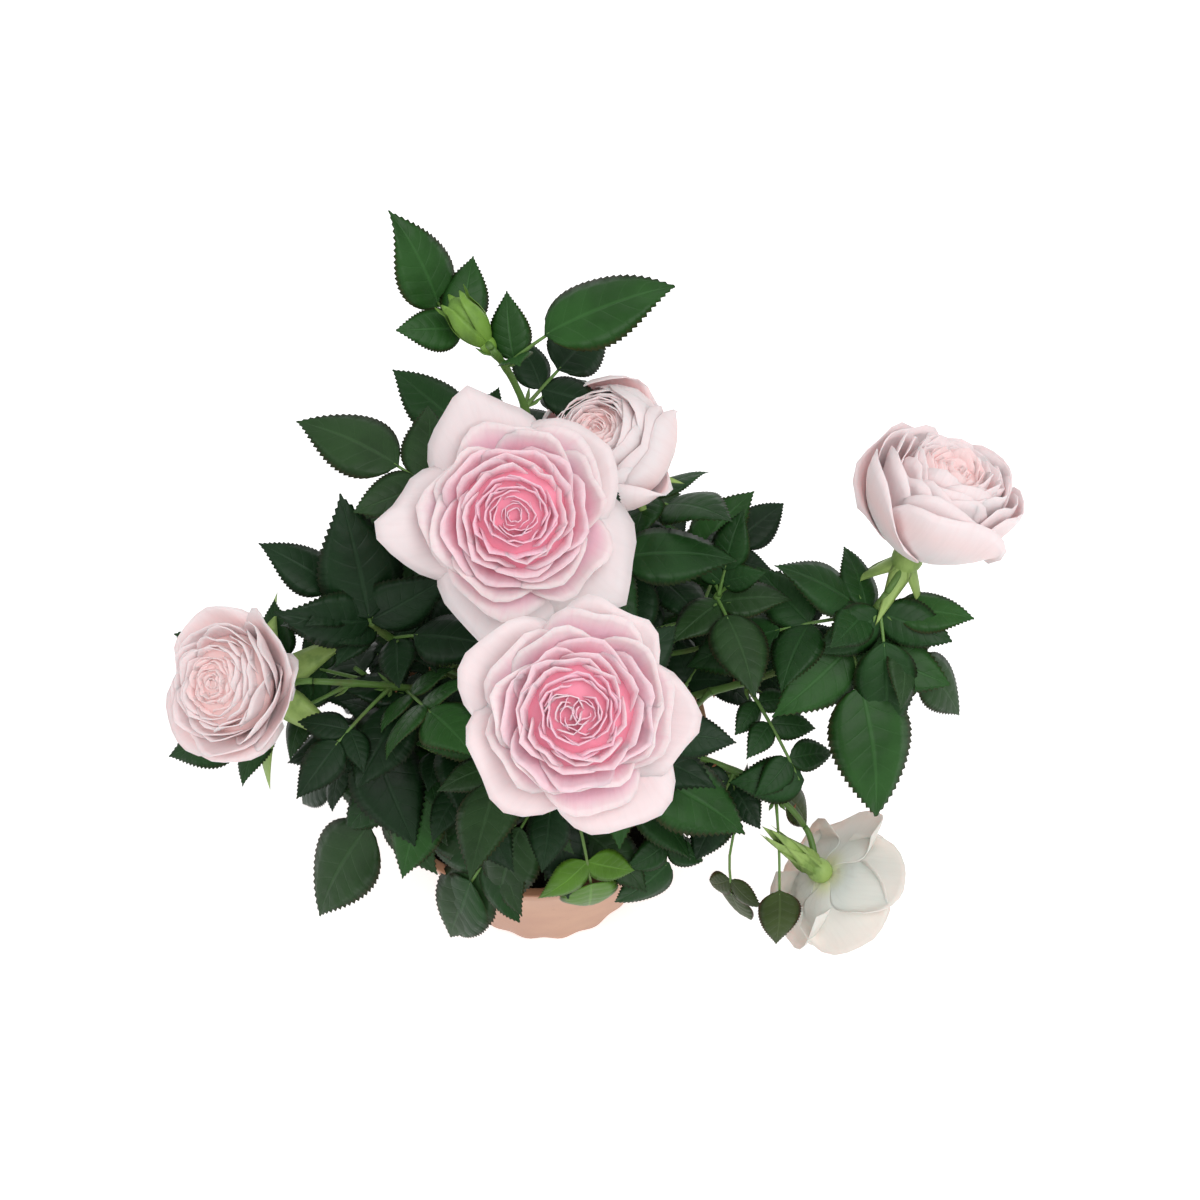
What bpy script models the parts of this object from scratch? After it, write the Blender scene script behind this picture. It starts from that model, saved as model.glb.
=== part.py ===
"""A miniature rose bush in its growing pot: pot, soil, canes, masses of leaves, blooms and a bud.

Units are metres and +Z is up. The origin is the middle of the pot's flat underside.
Each shoot is one curve from the soil to its flower stalk. Its lower part is a cane, a tapering
limb of its own, and its upper part is the stem of one mass of foliage.
"""

import math
import random
from dataclasses import dataclass, field

import bmesh
import bpy
from mathutils import Matrix, Vector
from mathutils.bvhtree import BVHTree
from mathutils.geometry import interpolate_bezier

GAP = 0.0003  # clearance between neighbouring pieces
UP = Vector((0.0, 0.0, 1.0))

FINISHES = {  # colour, roughness
    "pot_plastic": ((0.56, 0.32, 0.24), 0.55),
    "potting_mix": ((0.025, 0.018, 0.013), 0.95),
    "green_cane": ((0.10, 0.17, 0.05), 0.55),
    "rose_leaf": ((0.022, 0.085, 0.022), 0.45),
    "pink_petal": ((0.78, 0.52, 0.56), 0.50),
    "white_petal": ((0.80, 0.78, 0.74), 0.50),
    "bud_green": ((0.12, 0.26, 0.05), 0.50),
}
WHITE_BLOOM = "bloom_nodding"

# Pot
POT_HEIGHT = 0.090
FOOT_RADIUS = 0.036
RIM_RADIUS = 0.0525
POT_WALL = 0.0016
LIP_HEIGHT = 0.008
LIP_PROUD = 0.0012
POT_SEGMENTS = 72
FOOT_LOBES = 18
LOBE_DEPTH = 0.0010
LOBE_HEIGHT = 0.016
SHARP_ANGLE = math.radians(30)

# Soil
SOIL_TOP = 0.080
SOIL_EDGE_DROP = 0.003
SOIL_LEVEL_RADIUS = 0.030
SOIL_SEGMENTS = 24

# Canes, stems and leaf stalks
PATH_STEPS = 24
CANE_SIDES = 5
CANE_STEPS = 4
CANE_RADIUS = 0.0021
CANE_FLARE = 1.5
STEM_RADIUS = 0.0013
STEM_TIP_RADIUS = 0.0009
STALK_RADIUS = 0.0010
PETIOLE_RADIUS = 0.0008
RACHIS_TIP_RADIUS = 0.0005
TWIG_SIDES = 3
STEM_SIDES = 5
STALK_SIDES = 6
STEM_STEPS = 7
FLARE_HEIGHT = 0.003
IN_LINE = 0.001

# Leaves
BLADE_THICK = 0.0011
BLADE_WIDTH = 0.63  # width of a leaflet as a share of its length
BLADE_FOLD = 0.16  # how far its halves rise on each side of the midrib
BLADE_ARCH = 0.05  # how far its middle bows up, as a share of its length
LEAF_OUTLINE = ((0.20, 0.84), (0.60, 0.90))  # share of length, share of half the width
ROOT_SUNK = 0.0015  # how deep the end leaflet's root is sunk in its stalk
SIDE_SUNK = 0.0002  # how far a side leaflet's root goes past the middle of the stalk
PAIR_FIRST = 0.34  # from the end leaflet back to the first pair, as a share of its length
PAIR_STEP = 0.56  # from one pair to the next
PAIR_SIZES = (0.80, 0.68, 0.56)  # their length as a share of the end leaflet's
PAIR_LOWEST = 0.22  # the lowest place for a pair, as a share of the stalk
PAIR_SPREAD = 62.0  # degrees between a side leaflet and the stalk
SPREAD_JITTER = 8.0
SIZE_JITTER = 0.08
LIFT_JITTER = 0.12
STALK_STEPS = 3
CLEAR = 0.0007  # how far a leaf keeps from its neighbours

# The seeded rule
GOLDEN_TURN = 137.5
TURN_JITTER = 24.0
ROOM_PLACE = 0.62  # the middle of a mass's space, as a share of its shoot
FILL_TOP = 0.92  # the highest seeded leaf, as a share of the shoot
TRIES = 16
SEEDED_RISE = (5.0, 30.0)
SEEDED_LIFT = 25.0
SEEDED_ROLL = 20.0
FILL_START = 0.06  # from where the foliage begins up to the lowest seeded leaf
TWIG_START = 0.16
TWIG_SPAN = 0.35
TWIG_RISE = (15.0, 45.0)
SEEDED_REACH = (0.046, 0.060)
SEEDED_BLADE = (0.021, 0.028)
TWIG_LENGTH = (0.020, 0.032)
TWIG_BEND = 0.35
TWIG_STEPS = 3
TWIG_LEAVES = (0.40, 0.72, 1.0)

# Blooms: sizes are shares of the bloom's width
BLOOM_DEPTH = 0.29  # from the middle of the face back to where the petals spring
CUP_DEPTH = 0.16
CUP_RISE = 0.30
CUP_CLOSE = 0.10
WHORLS = (  # petals, how far out and how high their tips are, how broad they are
    (5, 0.50, 0.20, 0.56),
    (5, 0.36, 0.33, 0.42),
)
PETAL_OUTLINE = ((0.45, 0.95), (0.86, 0.80))
PETAL_THICK = 0.0010
PETAL_ARCH = -0.10
PETAL_FOLD = 0.18
PETAL_SEAT = 0.0020
PETAL_TWIST = math.radians(14)  # each petal lies over the next one round
HEART_RADIUS = 0.20
HEART_TALL = 0.38
HIP_RADIUS = 0.075
HIP_TALL = 0.20
HIP_FACETS = (6, 4)
SEPALS = 5
SEPAL_TURN = 20.0
SEPAL_WIDTH = 0.09
SEPAL_OUTLINE = ((0.35, 1.0),)

# The bud at the tip of its own shoot
BUD_SHOOT = "bud"
BUD_MIDDLE = (-0.014, 0.051, 0.223)
BUD_AIM = (-0.60, 0.45, 0.66)
BUD_RADIUS = 0.0046
BUD_LENGTH = 0.015
BUD_SEPAL_LENGTH = 0.013
BUD_SEPAL_WIDTH = 0.005
BUD_SEPAL_LIFT = math.radians(48)


@dataclass
class Leaf:
    """A compound leaf: a stalk with an end leaflet and pairs of side leaflets."""

    at: float  # where it leaves its shoot, as a share of the shoot's length
    bearing: float  # of its tip, degrees from +X towards +Y
    rise: float  # degrees above level
    reach: float  # from the shoot to the tip of its end leaflet
    blade: float  # length of the end leaflet
    pairs: int = 2
    roll: float = 0.0
    arch: float = 0.10
    kink: float = 0.0  # how far the end leaflet turns aside, degrees


@dataclass
class Shoot:
    """One stem from the soil to its tip, with the leaves that lead the outline."""

    name: str
    foot: tuple
    tip: tuple
    aim: tuple  # direction at the tip
    split: float  # share of its length where the cane ends and the foliage begins
    rise: float  # how far it grows straight up from the soil
    seed: int
    fill: int = 4  # leaves that the seeded rule adds on the stem
    twigs: int = 1  # side twigs that the seeded rule adds
    room: tuple = (0.060, 0.060, 0.050)  # half sizes of the space that its mass keeps to
    leaves: tuple = ()


@dataclass
class Bloom:
    """A flower on its own stalk, from its shoot's tip."""

    name: str
    shoot: str
    middle: tuple  # middle of the open face
    aim: tuple  # the way it faces
    width: float
    open: float = 1.0  # 1 is full blown, 0 is a tight cup
    sepals: float = 0.26  # their length as a share of its width
    lift: float = -25.0  # how far they stand up towards the petals, degrees


SHOOTS = (
    Shoot(
        "front", (0.005, -0.013), (0.0145, -0.056, 0.203), (0.0, -0.35, 0.94), 0.30, 0.050, 11, fill=2,
        leaves=(
            Leaf(0.36, 339, -13, 0.061, 0.035, 2),
            Leaf(0.36, 286, -58, 0.060, 0.022, 1, arch=0.3),
            Leaf(0.40, 183, 3, 0.041, 0.024, 2),
        ),
    ),
    Shoot(
        "upper", (-0.003, 0.003), (-0.0025, 0.009, 0.188), (0.0, -0.25, 0.97), 0.32, 0.050, 12,
        leaves=(
            Leaf(0.88, 155, 20, 0.069, 0.029, 2),
            Leaf(0.93, 1, -8, 0.060, 0.030, 2, arch=-0.05),
            Leaf(0.80, 170, 12, 0.046, 0.018, 2),
        ),
    ),
    Shoot(
        "small", (0.007, 0.013), (0.029, 0.042, 0.165), (0.0, 0.0, 1.0), 0.34, 0.035, 13,
        leaves=(Leaf(0.97, 317, 30, 0.041, 0.026, 1, arch=-0.05),),
    ),
    Shoot(
        "bud", (-0.006, 0.015), (-0.008, 0.045, 0.219), (-0.45, 0.0, 0.89), 0.36, 0.060, 14,
        leaves=(
            Leaf(0.98, 136, 43, 0.042, 0.024, 1, arch=0.3),
            Leaf(0.95, 18, 19, 0.049, 0.034, 2),
        ),
    ),
    Shoot(
        "left", (-0.014, 0.000), (-0.060, -0.012, 0.146), (-0.95, -0.05, 0.20), 0.36, 0.040, 15,
        leaves=(
            Leaf(0.74, 166, 2, 0.067, 0.024, 2, roll=-25, arch=-0.05),
            Leaf(0.88, 189, -25, 0.064, 0.025, 2, arch=-0.05),
        ),
    ),
    Shoot(
        "right", (0.017, 0.003), (0.099, 0.008, 0.160), (0.35, 0.45, 0.82), 0.30, 0.030, 16, fill=2,
        leaves=(
            Leaf(0.94, 167, 27, 0.032, 0.025, 1, arch=0.0),
            Leaf(0.93, 188, -17, 0.054, 0.028, 1),
            Leaf(0.86, 281, -33, 0.053, 0.037, 1),
            Leaf(0.97, 277, -42, 0.039, 0.027, 1),
            Leaf(0.92, 333, -40, 0.045, 0.024, 1),
            Leaf(0.96, 350, 3, 0.027, 0.020, 0, arch=-0.05),
            Leaf(0.56, 300, -28, 0.052, 0.020, 3, kink=-115),
        ),
    ),
    Shoot(
        "nodding", (0.016, -0.008), (0.080, -0.036, 0.101), (0.5, -0.7, -0.5), 0.34, 0.035, 17,
        leaves=(
            Leaf(0.70, 241, -33, 0.030, 0.020, 1),
            Leaf(0.76, 285, -54, 0.053, 0.022, 1, roll=45, arch=0.2),
            Leaf(0.40, 270, -35, 0.051, 0.018, 1, roll=-25, arch=0.2, kink=-45),
        ),
    ),
    Shoot(
        "left_inner", (-0.013, 0.008), (-0.043, -0.002, 0.161), (-0.3, -0.1, 0.95), 0.36, 0.030, 18,
        leaves=(
            Leaf(1.00, 105, 61, 0.039, 0.034, 1, arch=0.2),
            Leaf(0.90, 160, 43, 0.044, 0.021, 2),
            Leaf(0.92, 172, -2, 0.030, 0.019, 1),
        ),
    ),
    Shoot(
        "left_low", (-0.010, -0.012), (-0.047, -0.017, 0.124), (-0.8, -0.2, 0.5), 0.40, 0.020, 19, fill=1,
        leaves=(
            Leaf(1.00, 296, -33, 0.036, 0.033, 0),
            Leaf(0.98, 191, -17, 0.028, 0.024, 0),
            Leaf(0.94, 196, -47, 0.043, 0.022, 1),
            Leaf(0.62, 226, -35, 0.068, 0.036, 2),
            Leaf(0.50, 247, -17, 0.042, 0.024, 1, arch=0.25),
            Leaf(0.55, 215, -18, 0.040, 0.024, 1, arch=0.2),
        ),
    ),
    Shoot(
        "front_low", (0.002, -0.022), (0.004, -0.030, 0.112), (0.0, -0.5, 0.8), 0.30, 0.012, 20, fill=0,
        leaves=(
            Leaf(0.96, 225, -46, 0.060, 0.027, 1, arch=0.2),
            Leaf(0.84, 226, -41, 0.059, 0.030, 1, arch=0.2),
            Leaf(0.95, 283, -20, 0.032, 0.024, 0, arch=0.2),
            Leaf(0.90, 245, -26, 0.038, 0.024, 1, arch=0.4),
            Leaf(0.85, 319, -19, 0.042, 0.024, 1, arch=-0.05),
            Leaf(0.80, 338, -11, 0.048, 0.026, 1, roll=-25, arch=0.3),
        ),
    ),
    Shoot(
        "right_inner", (0.014, 0.011), (0.053, 0.010, 0.156), (0.2, 0.0, 0.97), 0.36, 0.025, 21,
        leaves=(Leaf(1.00, 68, 52, 0.026, 0.016, 1),),
    ),
    Shoot("back", (0.003, 0.024), (0.012, 0.052, 0.136), (0.1, 0.5, 0.86), 0.24, 0.020, 22, fill=6),
    Shoot("back_left", (-0.014, 0.016), (-0.045, 0.030, 0.122), (-0.5, 0.5, 0.7), 0.24, 0.015, 23, fill=6),
    Shoot("back_right", (0.019, 0.021), (0.050, 0.036, 0.122), (0.5, 0.5, 0.7), 0.24, 0.015, 24, fill=6),
)

BLOOMS = (
    Bloom("bloom_front", "front", (0.015, -0.066, 0.230), (0.015, -0.463, 0.886), 0.052),
    Bloom("bloom_upper", "upper", (-0.001, -0.003, 0.213), (0.057, -0.577, 0.815), 0.058),
    Bloom("bloom_small", "small", (0.023, 0.037, 0.191), (-0.335, -0.200, 0.920), 0.045, 0.35, 0.20),
    Bloom("bloom_left", "left", (-0.081, -0.019, 0.156), (-0.699, -0.343, 0.628), 0.045, 0.8, 0.40, -10),
    Bloom("bloom_right", "right", (0.112, 0.027, 0.184), (0.430, 0.620, 0.660), 0.050, 0.8, 0.34, -50),
    Bloom("bloom_nodding", "nodding", (0.095, -0.048, 0.078), (0.453, -0.073, -0.888), 0.052, 0.9),
)


# ---------------------------------------------------------------- materials and collections


def material(name, colour, roughness):
    """A plain Principled material, not metallic."""
    made = bpy.data.materials.new(name)
    made.use_nodes = True
    shader = made.node_tree.nodes["Principled BSDF"]
    shader.inputs["Base Color"].default_value = (*colour, 1.0)
    shader.inputs["Roughness"].default_value = roughness
    shader.inputs["Metallic"].default_value = 0.0
    return made


def collection(name):
    made = bpy.data.collections.new(name)
    bpy.context.scene.collection.children.link(made)
    return made


def object_from(bm, name, home, finish=None):
    """Makes the bmesh an object in that collection, its faces pointing out, and frees it."""
    bmesh.ops.recalc_face_normals(bm, faces=bm.faces)
    if bm.calc_volume(signed=True) < 0:
        bmesh.ops.reverse_faces(bm, faces=bm.faces)
    mesh = bpy.data.meshes.new(name)
    bm.to_mesh(mesh)
    bm.free()
    made = bpy.data.objects.new(name, mesh)
    if finish:
        mesh.materials.append(finish)
    home.objects.link(made)
    return made


def applied(obj):
    """Replaces the object's mesh with its evaluated one and clears its modifiers."""
    graph = bpy.context.evaluated_depsgraph_get()
    mesh = bpy.data.meshes.new_from_object(obj.evaluated_get(graph))
    obj.modifiers.clear()
    obj.data = mesh
    mesh.name = obj.name
    return obj


# ---------------------------------------------------------------- small solids


def sweep(bm, path, radii, sides):
    """Adds a closed tapering tube of that many sides along the path."""
    along = (path[1] - path[0]).normalized()
    place = Matrix.Translation(path[0]) @ along.to_track_quat("Z", "Y").to_matrix().to_4x4()
    ring = bmesh.ops.create_circle(bm, segments=sides, radius=radii[0], matrix=place)["verts"]
    edges = list({edge for vert in ring for edge in vert.link_edges})
    ends = list(edges)
    for index in range(1, len(path)):
        ahead = (path[min(index + 1, len(path) - 1)] - path[index - 1]).normalized()
        turn = along.rotation_difference(ahead).to_matrix().to_4x4()
        grow = Matrix.Scale(radii[index] / radii[index - 1], 4)
        step = Matrix.Translation(path[index]) @ turn @ grow @ Matrix.Translation(-path[index - 1])
        grown = bmesh.ops.extrude_edge_only(bm, edges=edges)["geom"]
        ring = [item for item in grown if isinstance(item, bmesh.types.BMVert)]
        edges = [item for item in grown if isinstance(item, bmesh.types.BMEdge)]
        bmesh.ops.transform(bm, matrix=step, verts=ring)
        along = ahead
    bmesh.ops.holes_fill(bm, edges=ends + edges, sides=sides)


def ball(bm, middle, aim, radius, length, sides=8, rings=5):
    """Adds an egg of that radius, its long axis along aim."""
    turn = aim.to_track_quat("Z", "Y").to_matrix().to_4x4()
    place = Matrix.Translation(middle) @ turn @ Matrix.Diagonal((radius, radius, length / 2, 1.0))
    bmesh.ops.create_uvsphere(bm, u_segments=sides, v_segments=rings, radius=1.0, matrix=place)


@dataclass
class Blade:
    """A leaflet, sepal or petal: a thin lens between its root and its tip."""

    root: Vector
    tip: Vector
    face: Vector  # the way its upper side looks
    width: float
    thick: float = BLADE_THICK
    arch: float = BLADE_ARCH
    fold: float = BLADE_FOLD
    outline: tuple = LEAF_OUTLINE


def blade_point(blade, share, across, lift):
    """A point of the blade: its share of the length, share of half the width, and lift off it."""
    axis = blade.tip - blade.root
    side = blade.face.cross(axis).normalized()
    over = axis.cross(side).normalized()
    half = across * blade.width / 2
    height = 4 * blade.arch * axis.length * share * (1 - share) + blade.fold * abs(half) + lift
    return blade.root + axis * share + side * half + over * height


def add_blade(bm, blade, swell=0.0):
    """Adds the blade as a lens with a point at its root and one at its tip."""
    count = 2 * len(blade.outline) + 2
    made = bmesh.ops.create_uvsphere(bm, u_segments=count, v_segments=2, radius=1.0)
    middle = sum(place[0] for place in blade.outline) / len(blade.outline)
    for vert in made["verts"]:
        step = round(math.atan2(vert.co.x, vert.co.y) / math.tau * count)
        if abs(vert.co.z) > 0.5:
            lift = math.copysign(blade.thick / 2 + swell, vert.co.z)
            vert.co = blade_point(blade, middle, 0.0, lift)
        elif step == 0:
            vert.co = blade_point(blade, 1.0 + swell / blade.width, 0.0, 0.0)
        elif abs(step) == count // 2:
            vert.co = blade.root
        else:
            share, across = blade.outline[-abs(step)]
            across = math.copysign(across + 2 * swell / blade.width, step)
            vert.co = blade_point(blade, share, across, 0.0)


# ---------------------------------------------------------------- shoots and leaves


def walk(path, share):
    """The point at that share of the path's length, and the direction there."""
    steps = [(end - start).length for start, end in zip(path, path[1:])]
    left = share * sum(steps)
    for index, step in enumerate(steps):
        if left <= step or index == len(steps) - 1:
            along = path[index + 1] - path[index]
            return path[index] + along * (left / step), along.normalized()
        left -= step


def between(path, start, end, steps):
    """Evenly spaced points from one share of the path to another."""
    return [walk(path, start + (end - start) * index / steps)[0] for index in range(steps + 1)]


def tapering(start, end, steps):
    return [start + (end - start) * index / steps for index in range(steps + 1)]


def shoot_path(shoot):
    """The shoot's line from the soil to its tip: CANE_STEPS steps of cane, then its stem."""
    foot = Vector((*shoot.foot, SOIL_TOP + GAP))
    tip = Vector(shoot.tip)
    aim = Vector(shoot.aim).normalized()
    reach = (tip - foot).length
    curve = interpolate_bezier(foot, foot + UP * shoot.rise, tip - aim * reach / 3, tip, PATH_STEPS)
    cane = between(curve, 0.0, shoot.split, CANE_STEPS)
    return cane[:-1] + between(curve, shoot.split, 1.0, STEM_STEPS)


def leaf_face(along, outward, roll):
    """The way a leaf's upper side looks: to the sky, or to its stem where it stands up."""
    face = UP - outward * max(0.0, along.z)
    face = (face - along * face.dot(along)).normalized()
    return Matrix.Rotation(math.radians(roll), 3, along) @ face


def grow_leaf(path, leaf, seed):
    """The leaf's stalk as a path, and its blades."""
    rng = random.Random(seed)
    start, _ = walk(path, leaf.at)
    turn, lift = math.radians(leaf.bearing), math.radians(leaf.rise)
    outward = Vector((math.cos(turn), math.sin(turn), 0.0))
    along = outward * math.cos(lift) + UP * math.sin(lift)
    face = leaf_face(along, outward, leaf.roll)
    tip = start + along * leaf.reach
    bow = face * leaf.arch * leaf.reach * 4 / 3
    third = along * leaf.reach / 3
    curve = interpolate_bezier(start, start + third + bow, tip - third + bow, tip, PATH_STEPS)
    bare = leaf.reach - leaf.blade
    stalk = between(curve, 0.0, bare / leaf.reach, STALK_STEPS)
    last = Matrix.Rotation(math.radians(leaf.kink), 3, face) @ (tip - stalk[-1])
    root = stalk[-1] - last.normalized() * ROOT_SUNK
    blades = [Blade(root, stalk[-1] + last, face, leaf.blade * BLADE_WIDTH)]
    for index in range(leaf.pairs):
        size = PAIR_SIZES[index]
        back = leaf.blade * (PAIR_FIRST + PAIR_STEP * index) / bare
        joint, ahead = walk(stalk, max(1 - back, PAIR_LOWEST))
        side = face.cross(ahead).normalized()
        for hand in (-1, 1):
            spread = math.radians(PAIR_SPREAD + rng.uniform(-SPREAD_JITTER, SPREAD_JITTER))
            length = leaf.blade * size * (1 + rng.uniform(-SIZE_JITTER, SIZE_JITTER))
            out = ahead * math.cos(spread) + side * hand * math.sin(spread)
            out = (out + face * rng.uniform(-LIFT_JITTER, LIFT_JITTER)).normalized()
            root = joint - out * SIDE_SUNK
            blades.append(Blade(root, joint + out * length, face, length * BLADE_WIDTH))
    return stalk, blades


def leaf_tree(stalk, blades, swell):
    """A search tree round the leaf, swollen by the clearance that it keeps."""
    bm = bmesh.new()
    for blade in blades:
        add_blade(bm, blade, swell)
    outer = stalk[1:]
    sweep(bm, outer, [PETIOLE_RADIUS + swell] * len(outer), TWIG_SIDES)
    tree = BVHTree.FromBMesh(bm)
    bm.free()
    return tree


def grow_twig(path, at, bearing, rise, length):
    """A side twig: a short curve that leaves the shoot and turns upwards."""
    start, _ = walk(path, at)
    turn, lift = math.radians(bearing), math.radians(rise)
    out = Vector((math.cos(turn), math.sin(turn), 0.0)) * math.cos(lift) + UP * math.sin(lift)
    tip = start + (out + UP * TWIG_BEND).normalized() * length
    third = length / 3
    curve = interpolate_bezier(start, start + out * third, tip - UP * third, tip, PATH_STEPS)
    return between(curve, 0.0, 1.0, TWIG_STEPS)


# ---------------------------------------------------------------- the plan of the crown


class Crown:
    """What already stands, so that each new leaf is tested against it."""

    def __init__(self):
        self.standing = []

    def add(self, owner, tree):
        self.standing.append((owner, tree))

    def clear_of(self, tree, own):
        return not any(tree.overlap(other) for owner, other in self.standing if owner not in own)


@dataclass
class Mass:
    """The twigs, leaf stalks and blades that are fused on one shoot's stem."""

    twigs: list = field(default_factory=list)
    stalks: list = field(default_factory=list)
    blades: list = field(default_factory=list)


def tube_tree(path, radius):
    bm = bmesh.new()
    sweep(bm, path, [radius] * len(path), STALK_SIDES)
    tree = BVHTree.FromBMesh(bm)
    bm.free()
    return tree


def pot_tree():
    """The pot's two walls and the soil's top."""
    bm = bmesh.new()
    for offset in (LIP_PROUD + CLEAR, -POT_WALL - CLEAR):
        place = Matrix.Translation((0.0, 0.0, (POT_HEIGHT + CLEAR) / 2))
        bmesh.ops.create_cone(
            bm,
            cap_ends=False,
            segments=POT_SEGMENTS,
            radius1=FOOT_RADIUS + offset,
            radius2=RIM_RADIUS + offset,
            depth=POT_HEIGHT + CLEAR,
            matrix=place,
        )
    level = Matrix.Translation((0.0, 0.0, SOIL_TOP + CLEAR))
    bmesh.ops.create_circle(bm, cap_ends=True, segments=SOIL_SEGMENTS, radius=RIM_RADIUS, matrix=level)
    tree = BVHTree.FromBMesh(bm)
    bm.free()
    return tree


def within(space, points):
    """Whether every point lies in the space, an ellipsoid given by its middle and half sizes."""
    middle, half = space
    return all(
        sum(((point[axis] - middle[axis]) / half[axis]) ** 2 for axis in range(3)) <= 1.0
        for point in points
    )


def try_leaf(crown, mass, name, path, leaf, seed, space=None):
    """Grows the leaf on its mass if it keeps clear and stays in its space.

    A leaf that leads the outline has no space to keep to, and may lie on others of its own mass.
    """
    stalk, blades = grow_leaf(path, leaf, seed)
    if space and not within(space, [blade.tip for blade in blades]):
        return False
    tree = leaf_tree(stalk, blades, CLEAR)
    own = (name,) if space else (name, name + "_leaf")
    if not crown.clear_of(tree, own):
        return False
    crown.add(name + "_leaf", tree)
    mass.stalks.append(stalk)
    mass.blades.extend(blades)
    return True


def seeded_leaf(rng, at, turn):
    """A leaf by the rule: its bearing turns on from the last, and it rises more near the tip."""
    return Leaf(
        at=at,
        bearing=turn + rng.uniform(-TURN_JITTER, TURN_JITTER),
        rise=rng.uniform(*SEEDED_RISE) + SEEDED_LIFT * at,
        reach=rng.uniform(*SEEDED_REACH),
        blade=rng.uniform(*SEEDED_BLADE),
        roll=rng.uniform(-SEEDED_ROLL, SEEDED_ROLL),
    )


def fill_mass(crown, mass, shoot, path):
    """Adds the leaves and side twigs that the seeded rule finds room for."""
    rng = random.Random(shoot.seed)
    space = (walk(path, ROOM_PLACE)[0], shoot.room)
    turn = rng.uniform(0, 360)
    low = shoot.split + FILL_START
    for index in range(shoot.fill):
        at = low + (FILL_TOP - low) * index / max(1, shoot.fill - 1)
        for _ in range(TRIES):
            turn += GOLDEN_TURN
            leaf = seeded_leaf(rng, at, turn)
            if try_leaf(crown, mass, shoot.name, path, leaf, rng.random(), space):
                break
    for index in range(shoot.twigs):
        at = shoot.split + TWIG_START + TWIG_SPAN * index / shoot.twigs
        for _ in range(TRIES):
            turn += GOLDEN_TURN
            twig = grow_twig(path, at, turn, rng.uniform(*TWIG_RISE), rng.uniform(*TWIG_LENGTH))
            tree = tube_tree(twig[1:], STALK_RADIUS + CLEAR)
            if not within(space, twig[-1:]) or not crown.clear_of(tree, (shoot.name,)):
                continue
            mass.twigs.append(twig)
            crown.add(shoot.name, tree)
            for place in TWIG_LEAVES:
                turn += GOLDEN_TURN
                leaf = seeded_leaf(rng, place, turn)
                try_leaf(crown, mass, shoot.name, twig, leaf, rng.random(), space)
            break


def plan_crown():
    """Every shoot's path and mass: the leading leaves first, then those of the seeded rule."""
    paths = {shoot.name: shoot_path(shoot) for shoot in SHOOTS}
    crown = Crown()
    crown.add("pot", pot_tree())
    for name, path in paths.items():
        crown.add(name, tube_tree(path, STEM_RADIUS + CLEAR))
    for bloom in BLOOMS:
        crown.add(bloom.name, bloom_tree(bloom, paths[bloom.shoot]))
    for piece in bud_pieces(CLEAR):
        crown.add("bud_tip", BVHTree.FromBMesh(piece))
        piece.free()
    masses = {shoot.name: Mass() for shoot in SHOOTS}
    for shoot in SHOOTS:
        for index, leaf in enumerate(shoot.leaves):
            try_leaf(crown, masses[shoot.name], shoot.name, paths[shoot.name], leaf, shoot.seed + index)
    for shoot in SHOOTS:
        fill_mass(crown, masses[shoot.name], shoot, paths[shoot.name])
    return paths, masses


# ---------------------------------------------------------------- blooms


def bloom_base(bloom):
    """Where the petals spring from, and the way the bloom faces."""
    aim = Vector(bloom.aim).normalized()
    depth = BLOOM_DEPTH + (1 - bloom.open) * CUP_DEPTH
    return Vector(bloom.middle) - aim * depth * bloom.width, aim


def around(aim, turn):
    """The direction square to aim at that angle round it."""
    side = aim.orthogonal().normalized()
    return Matrix.Rotation(math.radians(turn), 3, aim) @ side


def petal_blades(bloom):
    """The petals in whorls, from the guard petals to the heart."""
    base, aim = bloom_base(bloom)
    petals = []
    for index, (count, spread, height, broad) in enumerate(WHORLS):
        reach = spread * bloom.width
        tall = (height + (1 - bloom.open) * CUP_RISE) * bloom.width
        reach *= 1 - (1 - bloom.open) * CUP_CLOSE
        for number in range(count):
            out = around(aim, 360 * number / count + GOLDEN_TURN * index)
            tip = base + out * reach + aim * tall
            chord = out * reach + aim * tall
            twist = Matrix.Rotation(PETAL_TWIST, 3, chord)
            face = twist @ (aim * reach - out * tall).normalized()
            petals.append(
                Blade(
                    base + aim * PETAL_SEAT,
                    tip,
                    face,
                    broad * bloom.width,
                    PETAL_THICK,
                    PETAL_ARCH,
                    PETAL_FOLD,
                    PETAL_OUTLINE,
                )
            )
    return petals


def sepal_blades(bloom):
    base, aim = bloom_base(bloom)
    sepals = []
    lift = math.radians(bloom.lift)
    for number in range(SEPALS):
        out = around(aim, 360 * number / SEPALS + SEPAL_TURN)
        tip = base + (out * math.cos(lift) + aim * math.sin(lift)) * bloom.sepals * bloom.width
        sepals.append(Blade(base, tip, aim, SEPAL_WIDTH * bloom.width, outline=SEPAL_OUTLINE))
    return sepals


def stalk_path(path, base, aim):
    """The flower stalk, from just past its shoot's tip to the bloom."""
    tip, along = walk(path, 1.0)
    start = tip + along * GAP
    third = (base - start).length / 3
    return interpolate_bezier(start, start + along * third, base - aim * third, base, STALK_STEPS + 2)


def bloom_tree(bloom, path):
    bm = bmesh.new()
    base, aim = bloom_base(bloom)
    for blade in petal_blades(bloom) + sepal_blades(bloom):
        add_blade(bm, blade, CLEAR)
    stalk = stalk_path(path, base, aim)
    sweep(bm, stalk, [STALK_RADIUS + CLEAR] * len(stalk), STALK_SIDES)
    tree = BVHTree.FromBMesh(bm)
    bm.free()
    return tree


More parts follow.
